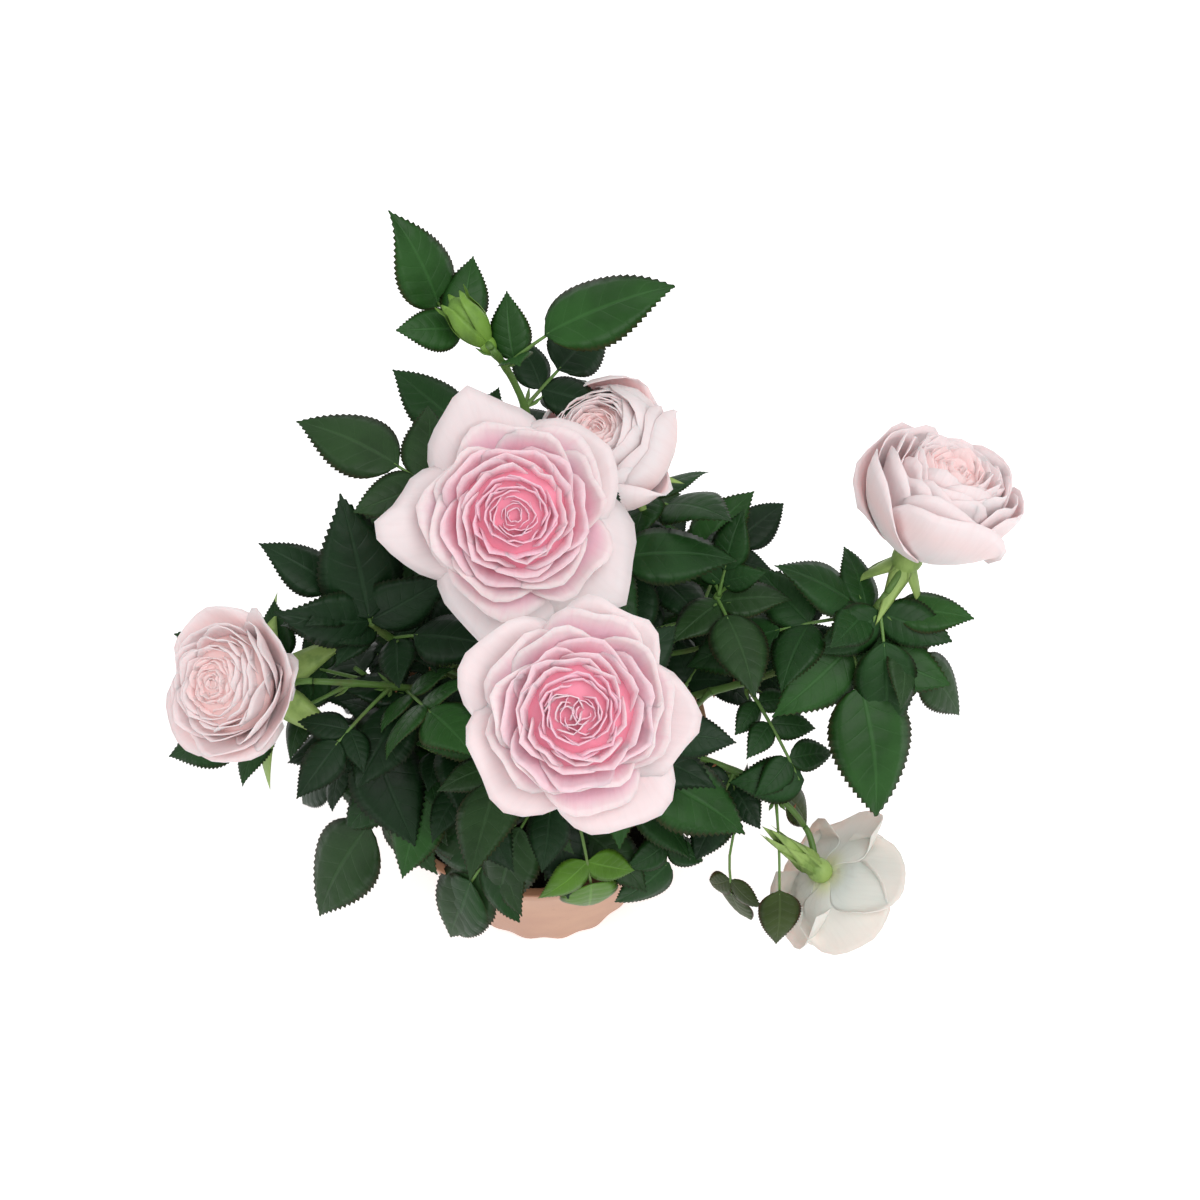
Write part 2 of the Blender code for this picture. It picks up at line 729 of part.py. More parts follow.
def build_bloom(bloom, path, home, finish):
    """One bloom, its calyx and its stalk, fused into one solid."""
    base, aim = bloom_base(bloom)
    stalk = stalk_path(path, base, aim)
    pieces = []
    for blade in petal_blades(bloom) + sepal_blades(bloom):
        bm = bmesh.new()
        add_blade(bm, blade)
        pieces.append(bm)
    heart = bmesh.new()
    tall = (HEART_TALL + (1 - bloom.open) * CUP_RISE) * bloom.width
    ball(heart, base + aim * tall / 2, aim, HEART_RADIUS * bloom.width, tall)
    pieces.append(heart)
    hip = bmesh.new()
    ball(hip, base, aim, HIP_RADIUS * bloom.width, HIP_TALL * bloom.width, *HIP_FACETS)
    pieces.append(hip)
    bm = bmesh.new()
    sweep(bm, stalk, tapering(STEM_TIP_RADIUS, STALK_RADIUS, len(stalk) - 1), STALK_SIDES)
    return fused(bloom.name, bm, pieces, home, finish)


def bud_pieces(swell=0.0):
    """The bud's egg and its sepals, each in a bmesh of its own."""
    middle = Vector(BUD_MIDDLE)
    aim = Vector(BUD_AIM).normalized()
    base = middle - aim * BUD_LENGTH / 2
    egg = bmesh.new()
    ball(egg, middle, aim, BUD_RADIUS + swell, BUD_LENGTH + 2 * swell)
    pieces = [egg]
    for number in range(SEPALS):
        out = around(aim, 360 * number / SEPALS)
        reach = out * math.cos(BUD_SEPAL_LIFT) + aim * math.sin(BUD_SEPAL_LIFT)
        sepal = bmesh.new()
        blade = Blade(base + aim * BUD_RADIUS / 2, base + reach * BUD_SEPAL_LENGTH, aim - out, BUD_SEPAL_WIDTH)
        add_blade(sepal, blade, swell)
        pieces.append(sepal)
    return pieces


def build_bud(path, home, finish):
    """The closed bud with its sepals and its short stalk, fused into one solid."""
    aim = Vector(BUD_AIM).normalized()
    stalk = stalk_path(path, Vector(BUD_MIDDLE), aim)
    core = bmesh.new()
    sweep(core, stalk, tapering(STEM_TIP_RADIUS, STALK_RADIUS, len(stalk) - 1), STALK_SIDES)
    return fused("bud", core, bud_pieces(), home, finish)


# ---------------------------------------------------------------- fusing


def shells(bm):
    """The separate closed shells of the mesh, each as its vertices."""
    left = set(bm.verts)
    found = []
    while left:
        shell = set()
        edge_of = [left.pop()]
        while edge_of:
            vert = edge_of.pop()
            shell.add(vert)
            for edge in vert.link_edges:
                other = edge.other_vert(vert)
                if other in left:
                    left.remove(other)
                    edge_of.append(other)
        found.append(shell)
    return found


def volume(shell):
    faces = {face for vert in shell for face in vert.link_faces}
    return sum(
        face.verts[0].co.dot(face.verts[1].co.cross(face.verts[2].co)) / 6 for face in faces
    )


def keep_largest_shell(obj):
    """Fills hollows that fusing sealed, and drops loose scraps."""
    bm = bmesh.new()
    bm.from_mesh(obj.data)
    bmesh.ops.triangulate(bm, faces=bm.faces)
    found = sorted(shells(bm), key=volume)
    for shell in found[:-1]:
        bmesh.ops.delete(bm, geom=list(shell), context="VERTS")
    bm.to_mesh(obj.data)
    bm.free()


def fused(name, core, pieces, home, finish):
    """One solid from the core and its pieces, by a single union."""
    work = collection(name + "_pieces")
    for index, piece in enumerate(pieces):
        object_from(piece, f"{name}_piece_{index}", work)
    solid = object_from(core, name, home, finish)
    union = solid.modifiers.new("fuse", "BOOLEAN")
    union.operation = "UNION"
    union.operand_type = "COLLECTION"
    union.collection = work
    union.solver = "MANIFOLD"
    applied(solid)
    for piece in list(work.objects):
        bpy.data.objects.remove(piece)
    bpy.data.collections.remove(work)
    keep_largest_shell(solid)
    return solid


# ---------------------------------------------------------------- building


def build_cane(shoot, path, home, finish):
    """The shoot's bare lower part, a tapering limb with a slight flare at the soil.

    Its last millimetre runs in line with the stem above, so that their flat ends are parallel.
    """
    end = path[CANE_STEPS]
    onward = (path[CANE_STEPS + 1] - end).normalized()
    flare = path[0] + UP * FLARE_HEIGHT
    points = [path[0], flare] + path[1:CANE_STEPS] + [end - onward * IN_LINE, end]
    radii = tapering(CANE_RADIUS, STEM_RADIUS, CANE_STEPS)
    radii = [radii[0] * CANE_FLARE] + radii + [STEM_RADIUS]
    bm = bmesh.new()
    sweep(bm, points, radii, CANE_SIDES)
    return object_from(bm, "cane_" + shoot.name, home, finish)


def build_mass(shoot, path, mass, home, finish):
    """The shoot's leafy part: its stem with twigs, leaf stalks and leaflets fused on."""
    stem = path[CANE_STEPS:]
    stem[0] = stem[0] + (stem[1] - stem[0]).normalized() * GAP
    core = bmesh.new()
    sweep(core, stem, tapering(STEM_RADIUS, STEM_TIP_RADIUS, STEM_STEPS), STEM_SIDES)
    pieces = []
    for twig in mass.twigs:
        bm = bmesh.new()
        sweep(bm, twig, tapering(STALK_RADIUS, PETIOLE_RADIUS, TWIG_STEPS), TWIG_SIDES)
        pieces.append(bm)
    for stalk in mass.stalks:
        bm = bmesh.new()
        sweep(bm, stalk, tapering(PETIOLE_RADIUS, RACHIS_TIP_RADIUS, STALK_STEPS), TWIG_SIDES)
        pieces.append(bm)
    for blade in mass.blades:
        bm = bmesh.new()
        add_blade(bm, blade)
        pieces.append(bm)
    return fused("foliage_" + shoot.name, core, pieces, home, finish)


def turned(name, profile, segments, home, finish):
    """A solid turned round the Z axis from its profile, which runs down its outer side."""
    bm = bmesh.new()
    verts = [bm.verts.new((radius, 0.0, height)) for radius, height in profile]
    for start, end in zip(verts, verts[1:]):
        bm.edges.new((start, end))
    mesh = bpy.data.meshes.new(name)
    bm.to_mesh(mesh)
    bm.free()
    made = bpy.data.objects.new(name, mesh)
    home.objects.link(made)
    screw = made.modifiers.new("turn", "SCREW")
    screw.steps = segments
    screw.render_steps = segments
    screw.use_merge_vertices = True
    screw.merge_threshold = 0.00001
    applied(made)
    made.data.materials.append(finish)
    return made


def wall_radius(height):
    return FOOT_RADIUS + (RIM_RADIUS - FOOT_RADIUS) * height / POT_HEIGHT


def build_pot(home, finish):
    """A moulded flower pot with a lip band and a lobed foot."""
    lip = POT_HEIGHT - LIP_HEIGHT
    profile = (
        (0.0, POT_WALL),
        (wall_radius(POT_WALL) - POT_WALL, POT_WALL),
        (RIM_RADIUS - POT_WALL, POT_HEIGHT),
        (RIM_RADIUS + LIP_PROUD, POT_HEIGHT),
        (wall_radius(lip) + LIP_PROUD, lip),
        (wall_radius(lip), lip - LIP_PROUD),
        (wall_radius(LOBE_HEIGHT), LOBE_HEIGHT),
        (FOOT_RADIUS, 0.0),
        (0.0, 0.0),
    )
    pot = turned("pot", profile, POT_SEGMENTS, home, finish)
    foot = [vert for vert in pot.data.vertices if vert.co.z == 0 and vert.co.xy.length > POT_WALL]
    for vert in foot:
        angle = math.atan2(vert.co.y, vert.co.x)
        dent = LOBE_DEPTH * (0.5 - 0.5 * math.cos(FOOT_LOBES * angle))
        vert.co.xy *= 1 - dent / FOOT_RADIUS
    pot.data.shade_smooth()
    pot.data.set_sharp_from_angle(angle=SHARP_ANGLE)
    return pot


def build_soil(home, finish):
    """Potting mix up to just under the rim, level round the canes."""
    inner = math.cos(math.pi / POT_SEGMENTS)
    edge = SOIL_TOP - SOIL_EDGE_DROP
    floor = POT_WALL + GAP
    profile = (
        (0.0, SOIL_TOP),
        (SOIL_LEVEL_RADIUS, SOIL_TOP),
        ((wall_radius(edge) - POT_WALL) * inner - GAP, edge),
        ((wall_radius(floor) - POT_WALL) * inner - GAP, floor),
        (0.0, floor),
    )
    return turned("soil", profile, SOIL_SEGMENTS, home, finish)


def main():
    for leftover in list(bpy.data.objects):
        bpy.data.objects.remove(leftover)
    home = collection("miniature_rose_bush")
    finish = {name: material(name, *look) for name, look in FINISHES.items()}
    build_pot(home, finish["pot_plastic"])
    build_soil(home, finish["potting_mix"])
    paths, masses = plan_crown()
    for shoot in SHOOTS:
        build_cane(shoot, paths[shoot.name], home, finish["green_cane"])
        build_mass(shoot, paths[shoot.name], masses[shoot.name], home, finish["rose_leaf"])
    for bloom in BLOOMS:
        petal = finish["white_petal" if bloom.name == WHITE_BLOOM else "pink_petal"]
        build_bloom(bloom, paths[bloom.shoot], home, petal)
    build_bud(paths[BUD_SHOOT], home, finish["bud_green"])


if __name__ == "__main__":
    main()
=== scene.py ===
"""A miniature rose bush in a plant pot, dressed over its packed solids.

Canes and stems with bark, toothed compound leaves, full blooms, a bud, a moulded pot and potting mix.
Units are metres, +Z is up and -Y is the front. The crown grows by the same seeded rule as the solids,
and is then carried on to finer leaves within the same reach.
"""

import math
import random
from dataclasses import dataclass, field, replace
from functools import lru_cache

import bmesh
import bpy
from bpy.props import FloatProperty, FloatVectorProperty, IntProperty, PointerProperty
from mathutils import Matrix, Vector, noise
from mathutils.bvhtree import BVHTree
from mathutils.geometry import interpolate_bezier


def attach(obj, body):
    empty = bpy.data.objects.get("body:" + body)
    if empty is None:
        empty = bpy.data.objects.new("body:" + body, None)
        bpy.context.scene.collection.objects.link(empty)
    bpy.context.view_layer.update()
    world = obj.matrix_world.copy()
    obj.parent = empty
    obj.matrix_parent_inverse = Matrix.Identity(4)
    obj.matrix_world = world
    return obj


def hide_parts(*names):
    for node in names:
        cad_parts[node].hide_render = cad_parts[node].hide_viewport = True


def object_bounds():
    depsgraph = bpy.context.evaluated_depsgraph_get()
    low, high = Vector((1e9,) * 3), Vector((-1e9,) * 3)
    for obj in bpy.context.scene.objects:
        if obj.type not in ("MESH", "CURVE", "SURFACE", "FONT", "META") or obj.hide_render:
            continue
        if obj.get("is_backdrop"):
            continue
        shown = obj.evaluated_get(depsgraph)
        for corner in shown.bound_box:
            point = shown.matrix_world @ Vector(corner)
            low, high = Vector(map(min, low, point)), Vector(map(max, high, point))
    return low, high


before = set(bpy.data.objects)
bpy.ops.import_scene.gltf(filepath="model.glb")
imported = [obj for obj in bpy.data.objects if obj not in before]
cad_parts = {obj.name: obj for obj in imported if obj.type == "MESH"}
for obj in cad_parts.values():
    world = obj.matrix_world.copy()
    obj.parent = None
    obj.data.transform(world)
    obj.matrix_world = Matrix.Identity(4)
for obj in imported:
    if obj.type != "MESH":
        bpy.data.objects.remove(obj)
CAD_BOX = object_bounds()

bl_info = {
    "name": "Miniature rose bush",
    "version": (1, 0, 0),
    "blender": (4, 5, 0),
    "location": "View3D > Sidebar > Rose bush",
    "description": "Grows a potted miniature rose bush over its packed solids",
    "category": "Object",
}

BODY = "root"
UP = Vector((0.0, 0.0, 1.0))
MM = 0.001
GAP = 0.0003  # clearance between neighbouring solids
UV_MAP = "UVMap"

# Pot and soil, as the solids have them
POT_HEIGHT = 0.090
FOOT_RADIUS = 0.036
RIM_RADIUS = 0.0525
POT_WALL = 0.0016
LIP_HEIGHT = 0.008
LIP_PROUD = 0.0012
POT_SEGMENTS = 72
FOOT_LOBES = 18
LOBE_DEPTH = 0.0010
LOBE_HEIGHT = 0.016
WALL_HEIGHTS = (0.060, 0.035, LOBE_HEIGHT, 0.008, 0.0015)  # rings of the finished wall
FOOT_RING = 0.004  # width of the ring that it stands on
FOOT_HOLLOW = 0.0008
SOIL_TOP = 0.080
SOIL_EDGE_DROP = 0.003
SOIL_LEVEL_RADIUS = 0.030  # the soil is level up to here
SOIL_SEGMENTS = 24

# Canes, stems and leaf stalks
PATH_STEPS = 24  # steps of a smooth curve
CANE_STEPS = 4
CANE_RADIUS = 0.0021
CANE_FLARE = 1.5  # how much thicker a cane is at the soil
STEM_RADIUS = 0.0013
STEM_TIP_RADIUS = 0.0009
STALK_RADIUS = 0.0010
PETIOLE_RADIUS = 0.0008
RACHIS_TIP_RADIUS = 0.0005
TWIG_SIDES = 3
STALK_SIDES = 6
STEM_STEPS = 7

# Leaves
BLADE_THICK = 0.0011
BLADE_WIDTH = 0.63  # of its length
BLADE_FOLD = 0.16  # how far its halves rise from the midrib
BLADE_ARCH = 0.05  # how far it bows, of its length
LEAF_OUTLINE = ((0.20, 0.84), (0.60, 0.90))  # places along it, and half its width there
ROOT_SUNK = 0.0015  # how deep an end leaflet starts inside its stalk
SIDE_SUNK = 0.0002  # the same for a side leaflet
PAIR_FIRST = 0.34  # how far back from the tip the first pair is, of the end leaflet
PAIR_STEP = 0.56  # and how far the next one
PAIR_SIZES = (0.80, 0.68, 0.56)  # of the end leaflet
PAIR_LOWEST = 0.22  # of the stalk: no pair is nearer to its foot
PAIR_SPREAD = 62.0  # degrees off the stalk
SPREAD_JITTER = 8.0
SIZE_JITTER = 0.08
LIFT_JITTER = 0.12
STALK_STEPS = 3
CLEAR = 0.0007  # clearance round every leaf, bloom and twig of the solids

# The seeded rule: angles in degrees, ranges to draw from, places as shares of the shoot's length
GOLDEN_TURN = 137.5
TURN_JITTER = 24.0
ROOM_PLACE = 0.62  # where the middle of a mass's own space is
FILL_TOP = 0.92  # the highest leaf
TRIES = 16  # turns tried for each leaf or twig
SEEDED_RISE = (5.0, 30.0)
SEEDED_LIFT = 25.0  # how much more a leaf at the tip rises
SEEDED_ROLL = 20.0
FILL_START = 0.06  # the lowest leaf, above the cane
TWIG_START = 0.16  # the lowest twig, above the cane
TWIG_SPAN = 0.35
TWIG_RISE = (15.0, 45.0)
SEEDED_REACH = (0.046, 0.060)
SEEDED_BLADE = (0.021, 0.028)
TWIG_LENGTH = (0.020, 0.032)
TWIG_BEND = 0.35  # how far it turns upwards
TWIG_STEPS = 3
TWIG_LEAVES = (0.40, 0.72, 1.0)  # places on the twig

# Blooms: shares of the bloom's width, but for a petal's thickness and seat
BLOOM_DEPTH = 0.29  # from its foot to its middle
CUP_DEPTH = 0.16  # how much deeper a closed one is
CUP_RISE = 0.30  # how much taller petals stand in a closed one
CUP_CLOSE = 0.10  # how much nearer to its middle they end
WHORLS = ((5, 0.50, 0.20, 0.56), (5, 0.36, 0.33, 0.42))  # number, spread, height and width
PETAL_OUTLINE = ((0.45, 0.95), (0.86, 0.80))
PETAL_THICK = 0.0010
PETAL_ARCH = -0.10
PETAL_FOLD = 0.18
PETAL_SEAT = 0.0020  # how far over the bloom's foot petals start
PETAL_TWIST = math.radians(14)
SEPALS = 5
SEPAL_TURN = 20.0
SEPAL_WIDTH = 0.09
SEPAL_OUTLINE = ((0.35, 1.0),)

# The bud
BUD_SHOOT = "bud"
BUD_MIDDLE = (-0.014, 0.051, 0.223)
BUD_AIM = (-0.60, 0.45, 0.66)
BUD_RADIUS = 0.0046
BUD_LENGTH = 0.015
BUD_SEPAL_LENGTH = 0.013
BUD_SEPAL_WIDTH = 0.005
BUD_SEPAL_LIFT = 48.0

# Finished leaflets: side veins on each side, and how far they slant towards the tip
VEINS = 7.0
VEIN_SLANT = 0.18
VEIN_WIDTH = 0.07
SIDE_VEIN = 0.35  # how clear a side vein is, of the midrib
VEIN_RELIEF = 0.010  # of the pillows between the side veins, as a share of the length
LEAFLET_FOOT = (0.60, 0.74)  # how fast the outline widens at the foot: lower is fuller
LEAFLET_TIP = (1.08, 1.36)  # how fast it narrows at the tip: higher is more pointed
LEAFLET_ROWS = 6
FINE_TEETH = 44  # columns of a leaflet, two to a tooth
SMALL_TEETH = 28
SMALL_LEAFLET = 0.016  # leaflets under this length have fewer teeth
FINE_PATTERNS = range(8)  # seeds
SMALL_PATTERNS = range(20, 26)

# Each leaf finish and how reddish its rim is, and the finishes dealt out to the plain sprays
LEAF_RIMS = {"deep": 0.1, "mid": 0.2, "dusky": 0.3, "bright": 0.4, "fresh": 0.2, "bronze": 0.9}
# deep green goes to some sprays as a random tone; on the leaves inside the crown it is painted shade
SPRAY_MIX = ("mid", "mid", "deep", "dusky", "bright")

# Finished wood
BARK_ROUGHNESS = 0.48
LIMB_SPACING = 1.6 * MM
NODE_REACH = 1.3 * MM  # how far from a leaf's foot its cane is swollen
FLARE_REACH = 2.0 * MM
CANE_SIDES = 12
STEM_LAP = 0.004  # share of the shoot by which the finished stem starts inside its cane
STEM_SIDES = 10
TWIG_ROUND = 8
PRICKLE_SIZES = (1.4 * MM, 2.4 * MM)
PRICKLE_FOOT = 0.32  # its radius at the foot, of its size
PRICKLE_TIP = 0.02
PRICKLE_HOOK = 0.35  # how far its tip hooks down, of its size
STIPULE_LENGTH = 5.5 * MM

# Finished petals, as shares of the petal's own sizes
PETAL_FOOT = 1.2 * MM  # how far out and up its foot is
NARROW_FOOT = 0.16  # its width there
WIDEST_AT = 0.42
RIM_FALL = 0.46  # how much shorter it is at its sides
ROLL_FROM = 0.70  # where its rim starts to roll back
COARSE_FROM = 0.35  # petals deeper in the bloom than this have fewer cells
PETAL_CELLS = 12
COARSE_CELLS = 8
CLAW_END = 0.30  # place along it where its foot's colour ends
TIP_FULL = 0.97  # and where its rim's colour is full

# The hip under a bloom, as shares of the bloom's width
HIP_RADIUS = 0.075
HIP_HEIGHT = 0.20
HIP_NECK = 0.22
BUD_HIP_WIDTH = 0.030

# The finished bud, as shares of the solid one
BUD_EGG = 0.86
BUD_EGG_HEIGHT = 0.92
BUD_SEPAL_FREE = 0.78  # place along a sepal where it leaves the bud
BUD_SEPAL_HALF = 42.0  # half its width at the foot, degrees round the bud

# Crumbs on the potting mix
CRUMB_SIZES = (0.5 * MM, 0.7 * MM, 0.9 * MM, 1.3 * MM, 1.9 * MM)
SOIL_RINGS = 22

# The finer growth, which only this file has
FINE_CLEAR = 0.0004  # clearance round these leaves
FINE_TRIES = 40
FINE_REACH = (0.034, 0.050)
FINE_BLADE = (0.016, 0.024)
FINE_RISE = (-12.0, 22.0)
EXTRA_TURNS = (0, 7, -7, 14, -14, 21, -21, 30, -30, 40, -40)  # tried until a leaf keeps clear
ANYWHERE = (1.0, 1.0, 1.0)  # half sizes of a space that bounds nothing

# Camera, lights and floor, in metres
CAMERA_PLACE = (0.0197, -0.211, 0.507)
CAMERA_TILT = 32.0
SENSOR_WIDTH = 36.0
LIT_POINT = (0.0, 0.0, 0.12)
FLOOR_SIZE = 4.0
WHITE = (1.0, 1.0, 1.0, 1.0)
# Each light's name, place and size, the setting that gives its power, and its share of that
LIGHTS = (
    ("key", (0.35, -0.35, 1.0), 1.0, "key", 1.0),
    ("fill", (-0.9, -0.2, 0.7), 0.9, "fill", 1.0),
    ("rim", (0.1, 0.9, 0.8), 0.9, "fill", 0.6),
)


@dataclass
class Leaf:
    """A compound leaf: a stalk with an end leaflet and pairs of side leaflets. Angles are in degrees."""

    at: float  # share of the shoot's length where it grows
    bearing: float
    rise: float
    reach: float
    blade: float  # length of the end leaflet
    pairs: int = 2
    roll: float = 0.0  # round its own length
    arch: float = 0.10
    kink: float = 0.0  # how far the end leaflet turns off the stalk's line
    finish: str = "mid"
    droop: float = 0.0  # how far its side leaflets hang, degrees
    small: float = 1.0  # the size of its side leaflets, of the usual
    shown: dict = field(default_factory=dict)  # what the finished leaf does otherwise


@dataclass
class Shoot:
    """One stem from the soil to its tip, with the leaves that lead the outline."""

    name: str
    foot: tuple
    tip: tuple
    aim: tuple  # the way it points at its tip
    split: float  # share of its length where the cane ends and the leafy stem starts
    rise: float  # how far it goes straight up before it leans
    seed: int
    fill: int = 4  # leaves that the seeded rule adds
    twigs: int = 1
    room: tuple = (0.060, 0.060, 0.050)  # half sizes of its mass's own space
    leaves: tuple = ()
    fine: int = 3  # leaves that the finer rule adds
    extra: tuple = ()  # finer leaves with places of their own


@dataclass
class Bloom:
    """A flower on its own stalk, from its shoot's tip."""

    name: str
    shoot: str
    middle: tuple
    aim: tuple
    width: float
    open: float = 1.0
    sepals: float = 0.26  # the solid sepals' length, as a share of its width
    lift: float = -25.0  # how far the solid sepals rise, degrees
    cup: float = 0.0  # how much taller its petals stand than those of a flat bloom, as a share of its width
    hearts: float = 0.0  # how far apart its two hearts lie, as a share of its width
    point: float = 0.0  # how far the tips of its guard petals are drawn out
    roll: float = 0.05  # how far its guard petals roll back, as a share of its width
    palette: str = "pink"
    turn: float = 0.0  # of its guard petals, degrees
    long_sepals: float = 0.30  # the sepals' finished length, as a share of its width
    sepal_drop: float = -35.0  # how far they finally hang back, degrees
    sepal_turn: float = SEPAL_TURN
    bed: tuple = (0.25, 0.30)  # radius and height of the packed bed, as shares of its width
    frill: float = 1.0  # how wavy its rims are, of the usual
    wrap: float = 0.0  # how far its outer petals rise round the inner ones, as a share of its width
    shown: dict = field(default_factory=dict)  # what the finished bloom does otherwise


SHOOTS = (
    Shoot(
        "front", (0.005, -0.013), (0.0145, -0.056, 0.203), (0.0, -0.35, 0.94), 0.30, 0.050, 11, fill=2,
        leaves=(
            Leaf(0.36, 339, -13, 0.061, 0.035, 2),
            Leaf(0.36, 286, -58, 0.060, 0.022, 1, arch=0.3, finish="fresh"),
            Leaf(0.40, 183, 3, 0.041, 0.024, 2),
        ),
    ),
    Shoot(
        "upper", (-0.003, 0.003), (-0.0025, 0.009, 0.188), (0.0, -0.25, 0.97), 0.32, 0.050, 12,
        leaves=(
            Leaf(0.88, 155, 20, 0.069, 0.029, 2),
            Leaf(0.93, 1, -8, 0.060, 0.030, 2, arch=-0.05),
            Leaf(0.80, 170, 12, 0.046, 0.018, 2),
        ),
    ),
    Shoot(
        "small", (0.007, 0.013), (0.029, 0.042, 0.165), (0.0, 0.0, 1.0), 0.34, 0.035, 13,
        leaves=(Leaf(0.97, 317, 30, 0.041, 0.026, 1, arch=-0.05),),
    ),
    Shoot(
        "bud", (-0.006, 0.015), (-0.008, 0.045, 0.219), (-0.45, 0.0, 0.89), 0.36, 0.060, 14,
        leaves=(
            Leaf(
                0.98, 136, 43, 0.042, 0.024, 1, arch=0.3, finish="bright",
                shown={"arch": -0.25, "rise": 38, "reach": 0.044, "droop": 25.0},
            ),
            Leaf(0.95, 18, 19, 0.049, 0.034, 2, finish="bright", shown={"droop": 38.0, "small": 0.6}),
        ),
    ),
    Shoot(
        "left", (-0.014, 0.000), (-0.060, -0.012, 0.146), (-0.95, -0.05, 0.20), 0.36, 0.040, 15,
        leaves=(
            Leaf(0.74, 166, 2, 0.067, 0.024, 2, roll=-25, arch=-0.05),
            Leaf(0.88, 189, -25, 0.064, 0.025, 2, arch=-0.05),
        ),
        extra=(
            Leaf(0.66, 262, 12, 0.036, 0.026, 1, finish="deep"),
            Leaf(0.58, 290, 16, 0.038, 0.026, 1),
        ),
    ),
    Shoot(
        "right", (0.017, 0.003), (0.099, 0.008, 0.160), (0.35, 0.45, 0.82), 0.30, 0.030, 16, fill=2,
        leaves=(
            Leaf(0.94, 167, 27, 0.032, 0.025, 1, arch=0.0),
            Leaf(0.93, 188, -17, 0.054, 0.028, 1),
            Leaf(0.86, 281, -33, 0.053, 0.037, 1, finish="bright"),
            Leaf(0.97, 277, -42, 0.039, 0.027, 1),
            Leaf(0.92, 333, -40, 0.045, 0.024, 1),
            Leaf(0.96, 350, 3, 0.027, 0.020, 0, arch=-0.05, finish="bright"),
            Leaf(0.56, 300, -28, 0.052, 0.020, 3, kink=-115),
        ),
        fine=1,
    ),
    Shoot(
        "nodding", (0.016, -0.008), (0.080, -0.036, 0.101), (0.5, -0.7, -0.5), 0.34, 0.035, 17,
        leaves=(
            Leaf(0.70, 241, -33, 0.030, 0.020, 1),
            Leaf(
                0.76, 285, -54, 0.053, 0.022, 1, roll=45, arch=0.2, finish="bronze",
                shown={"bearing": 272, "reach": 0.050, "blade": 0.015},
            ),
            Leaf(0.40, 270, -35, 0.051, 0.018, 1, roll=-25, arch=0.2, kink=-45),
        ),
        extra=(
            Leaf(0.86, 270, -30, 0.044, 0.017, 0, arch=0.2, finish="bronze"),
            Leaf(0.72, 215, -32, 0.032, 0.012, 1, finish="bronze"),
            Leaf(0.78, 160, -75, 0.020, 0.012, 1, arch=0.2, finish="bronze"),
            Leaf(0.78, 340, -45, 0.026, 0.016, 0, arch=0.2, finish="bronze"),
        ),
        fine=0,
    ),
    Shoot(
        "left_inner", (-0.013, 0.008), (-0.043, -0.002, 0.161), (-0.3, -0.1, 0.95), 0.36, 0.030, 18,
        leaves=(
            Leaf(1.00, 105, 61, 0.039, 0.034, 1, arch=0.2),
            Leaf(0.90, 160, 43, 0.044, 0.021, 2),
            Leaf(0.92, 172, -2, 0.030, 0.019, 1),
        ),
        extra=(
            Leaf(0.99, 262, 0, 0.036, 0.027, 1, finish="deep"),
            Leaf(0.86, 305, 5, 0.034, 0.024, 1, finish="deep"),
        ),
    ),
    Shoot(
        "left_low", (-0.010, -0.012), (-0.047, -0.017, 0.124), (-0.8, -0.2, 0.5), 0.40, 0.020, 19, fill=1,
        leaves=(
            Leaf(1.00, 296, -33, 0.036, 0.033, 0),
            Leaf(0.98, 191, -17, 0.028, 0.024, 0),
            Leaf(0.94, 196, -47, 0.043, 0.022, 1),
            Leaf(0.62, 226, -35, 0.068, 0.036, 2),
            Leaf(0.50, 247, -17, 0.042, 0.024, 1, arch=0.25),
            Leaf(0.55, 215, -18, 0.040, 0.024, 1, arch=0.2),
        ),
        extra=(
            Leaf(0.80, 112, -8, 0.046, 0.024, 1, arch=0.2, finish="deep"),
            Leaf(0.72, 150, -22, 0.040, 0.022, 1, arch=0.2, finish="deep"),
        ),
    ),
    Shoot(
        "front_low", (0.002, -0.022), (0.004, -0.030, 0.112), (0.0, -0.5, 0.8), 0.30, 0.012, 20, fill=0,
        leaves=(
            Leaf(0.96, 225, -46, 0.060, 0.027, 1, arch=0.2),
            Leaf(0.84, 226, -41, 0.059, 0.030, 1, arch=0.2),
            Leaf(0.95, 283, -20, 0.032, 0.024, 0, arch=0.2),
            Leaf(0.90, 245, -26, 0.038, 0.024, 1, arch=0.4),
            Leaf(0.85, 319, -19, 0.042, 0.024, 1, arch=-0.05),
            Leaf(0.80, 338, -11, 0.048, 0.026, 1, roll=-25, arch=0.3),
        ),
    ),
    Shoot(
        "right_inner", (0.014, 0.011), (0.053, 0.010, 0.156), (0.2, 0.0, 0.97), 0.36, 0.025, 21,
        leaves=(Leaf(1.00, 68, 52, 0.026, 0.016, 1),),
        extra=(
            Leaf(0.98, 285, 5, 0.034, 0.024, 1, finish="dusky"),
            Leaf(0.90, 345, 8, 0.032, 0.022, 1),
        ),
        fine=2,
    ),
    Shoot("back", (0.003, 0.024), (0.012, 0.052, 0.136), (0.1, 0.5, 0.86), 0.24, 0.020, 22, fill=6, fine=6),
    Shoot(
        "back_left", (-0.014, 0.016), (-0.045, 0.030, 0.122), (-0.5, 0.5, 0.7), 0.24, 0.015, 23,
        fill=6, fine=6,
    ),
    Shoot(
        "back_right", (0.019, 0.021), (0.050, 0.036, 0.122), (0.5, 0.5, 0.7), 0.24, 0.015, 24,
        fill=6, fine=6,
    ),
)

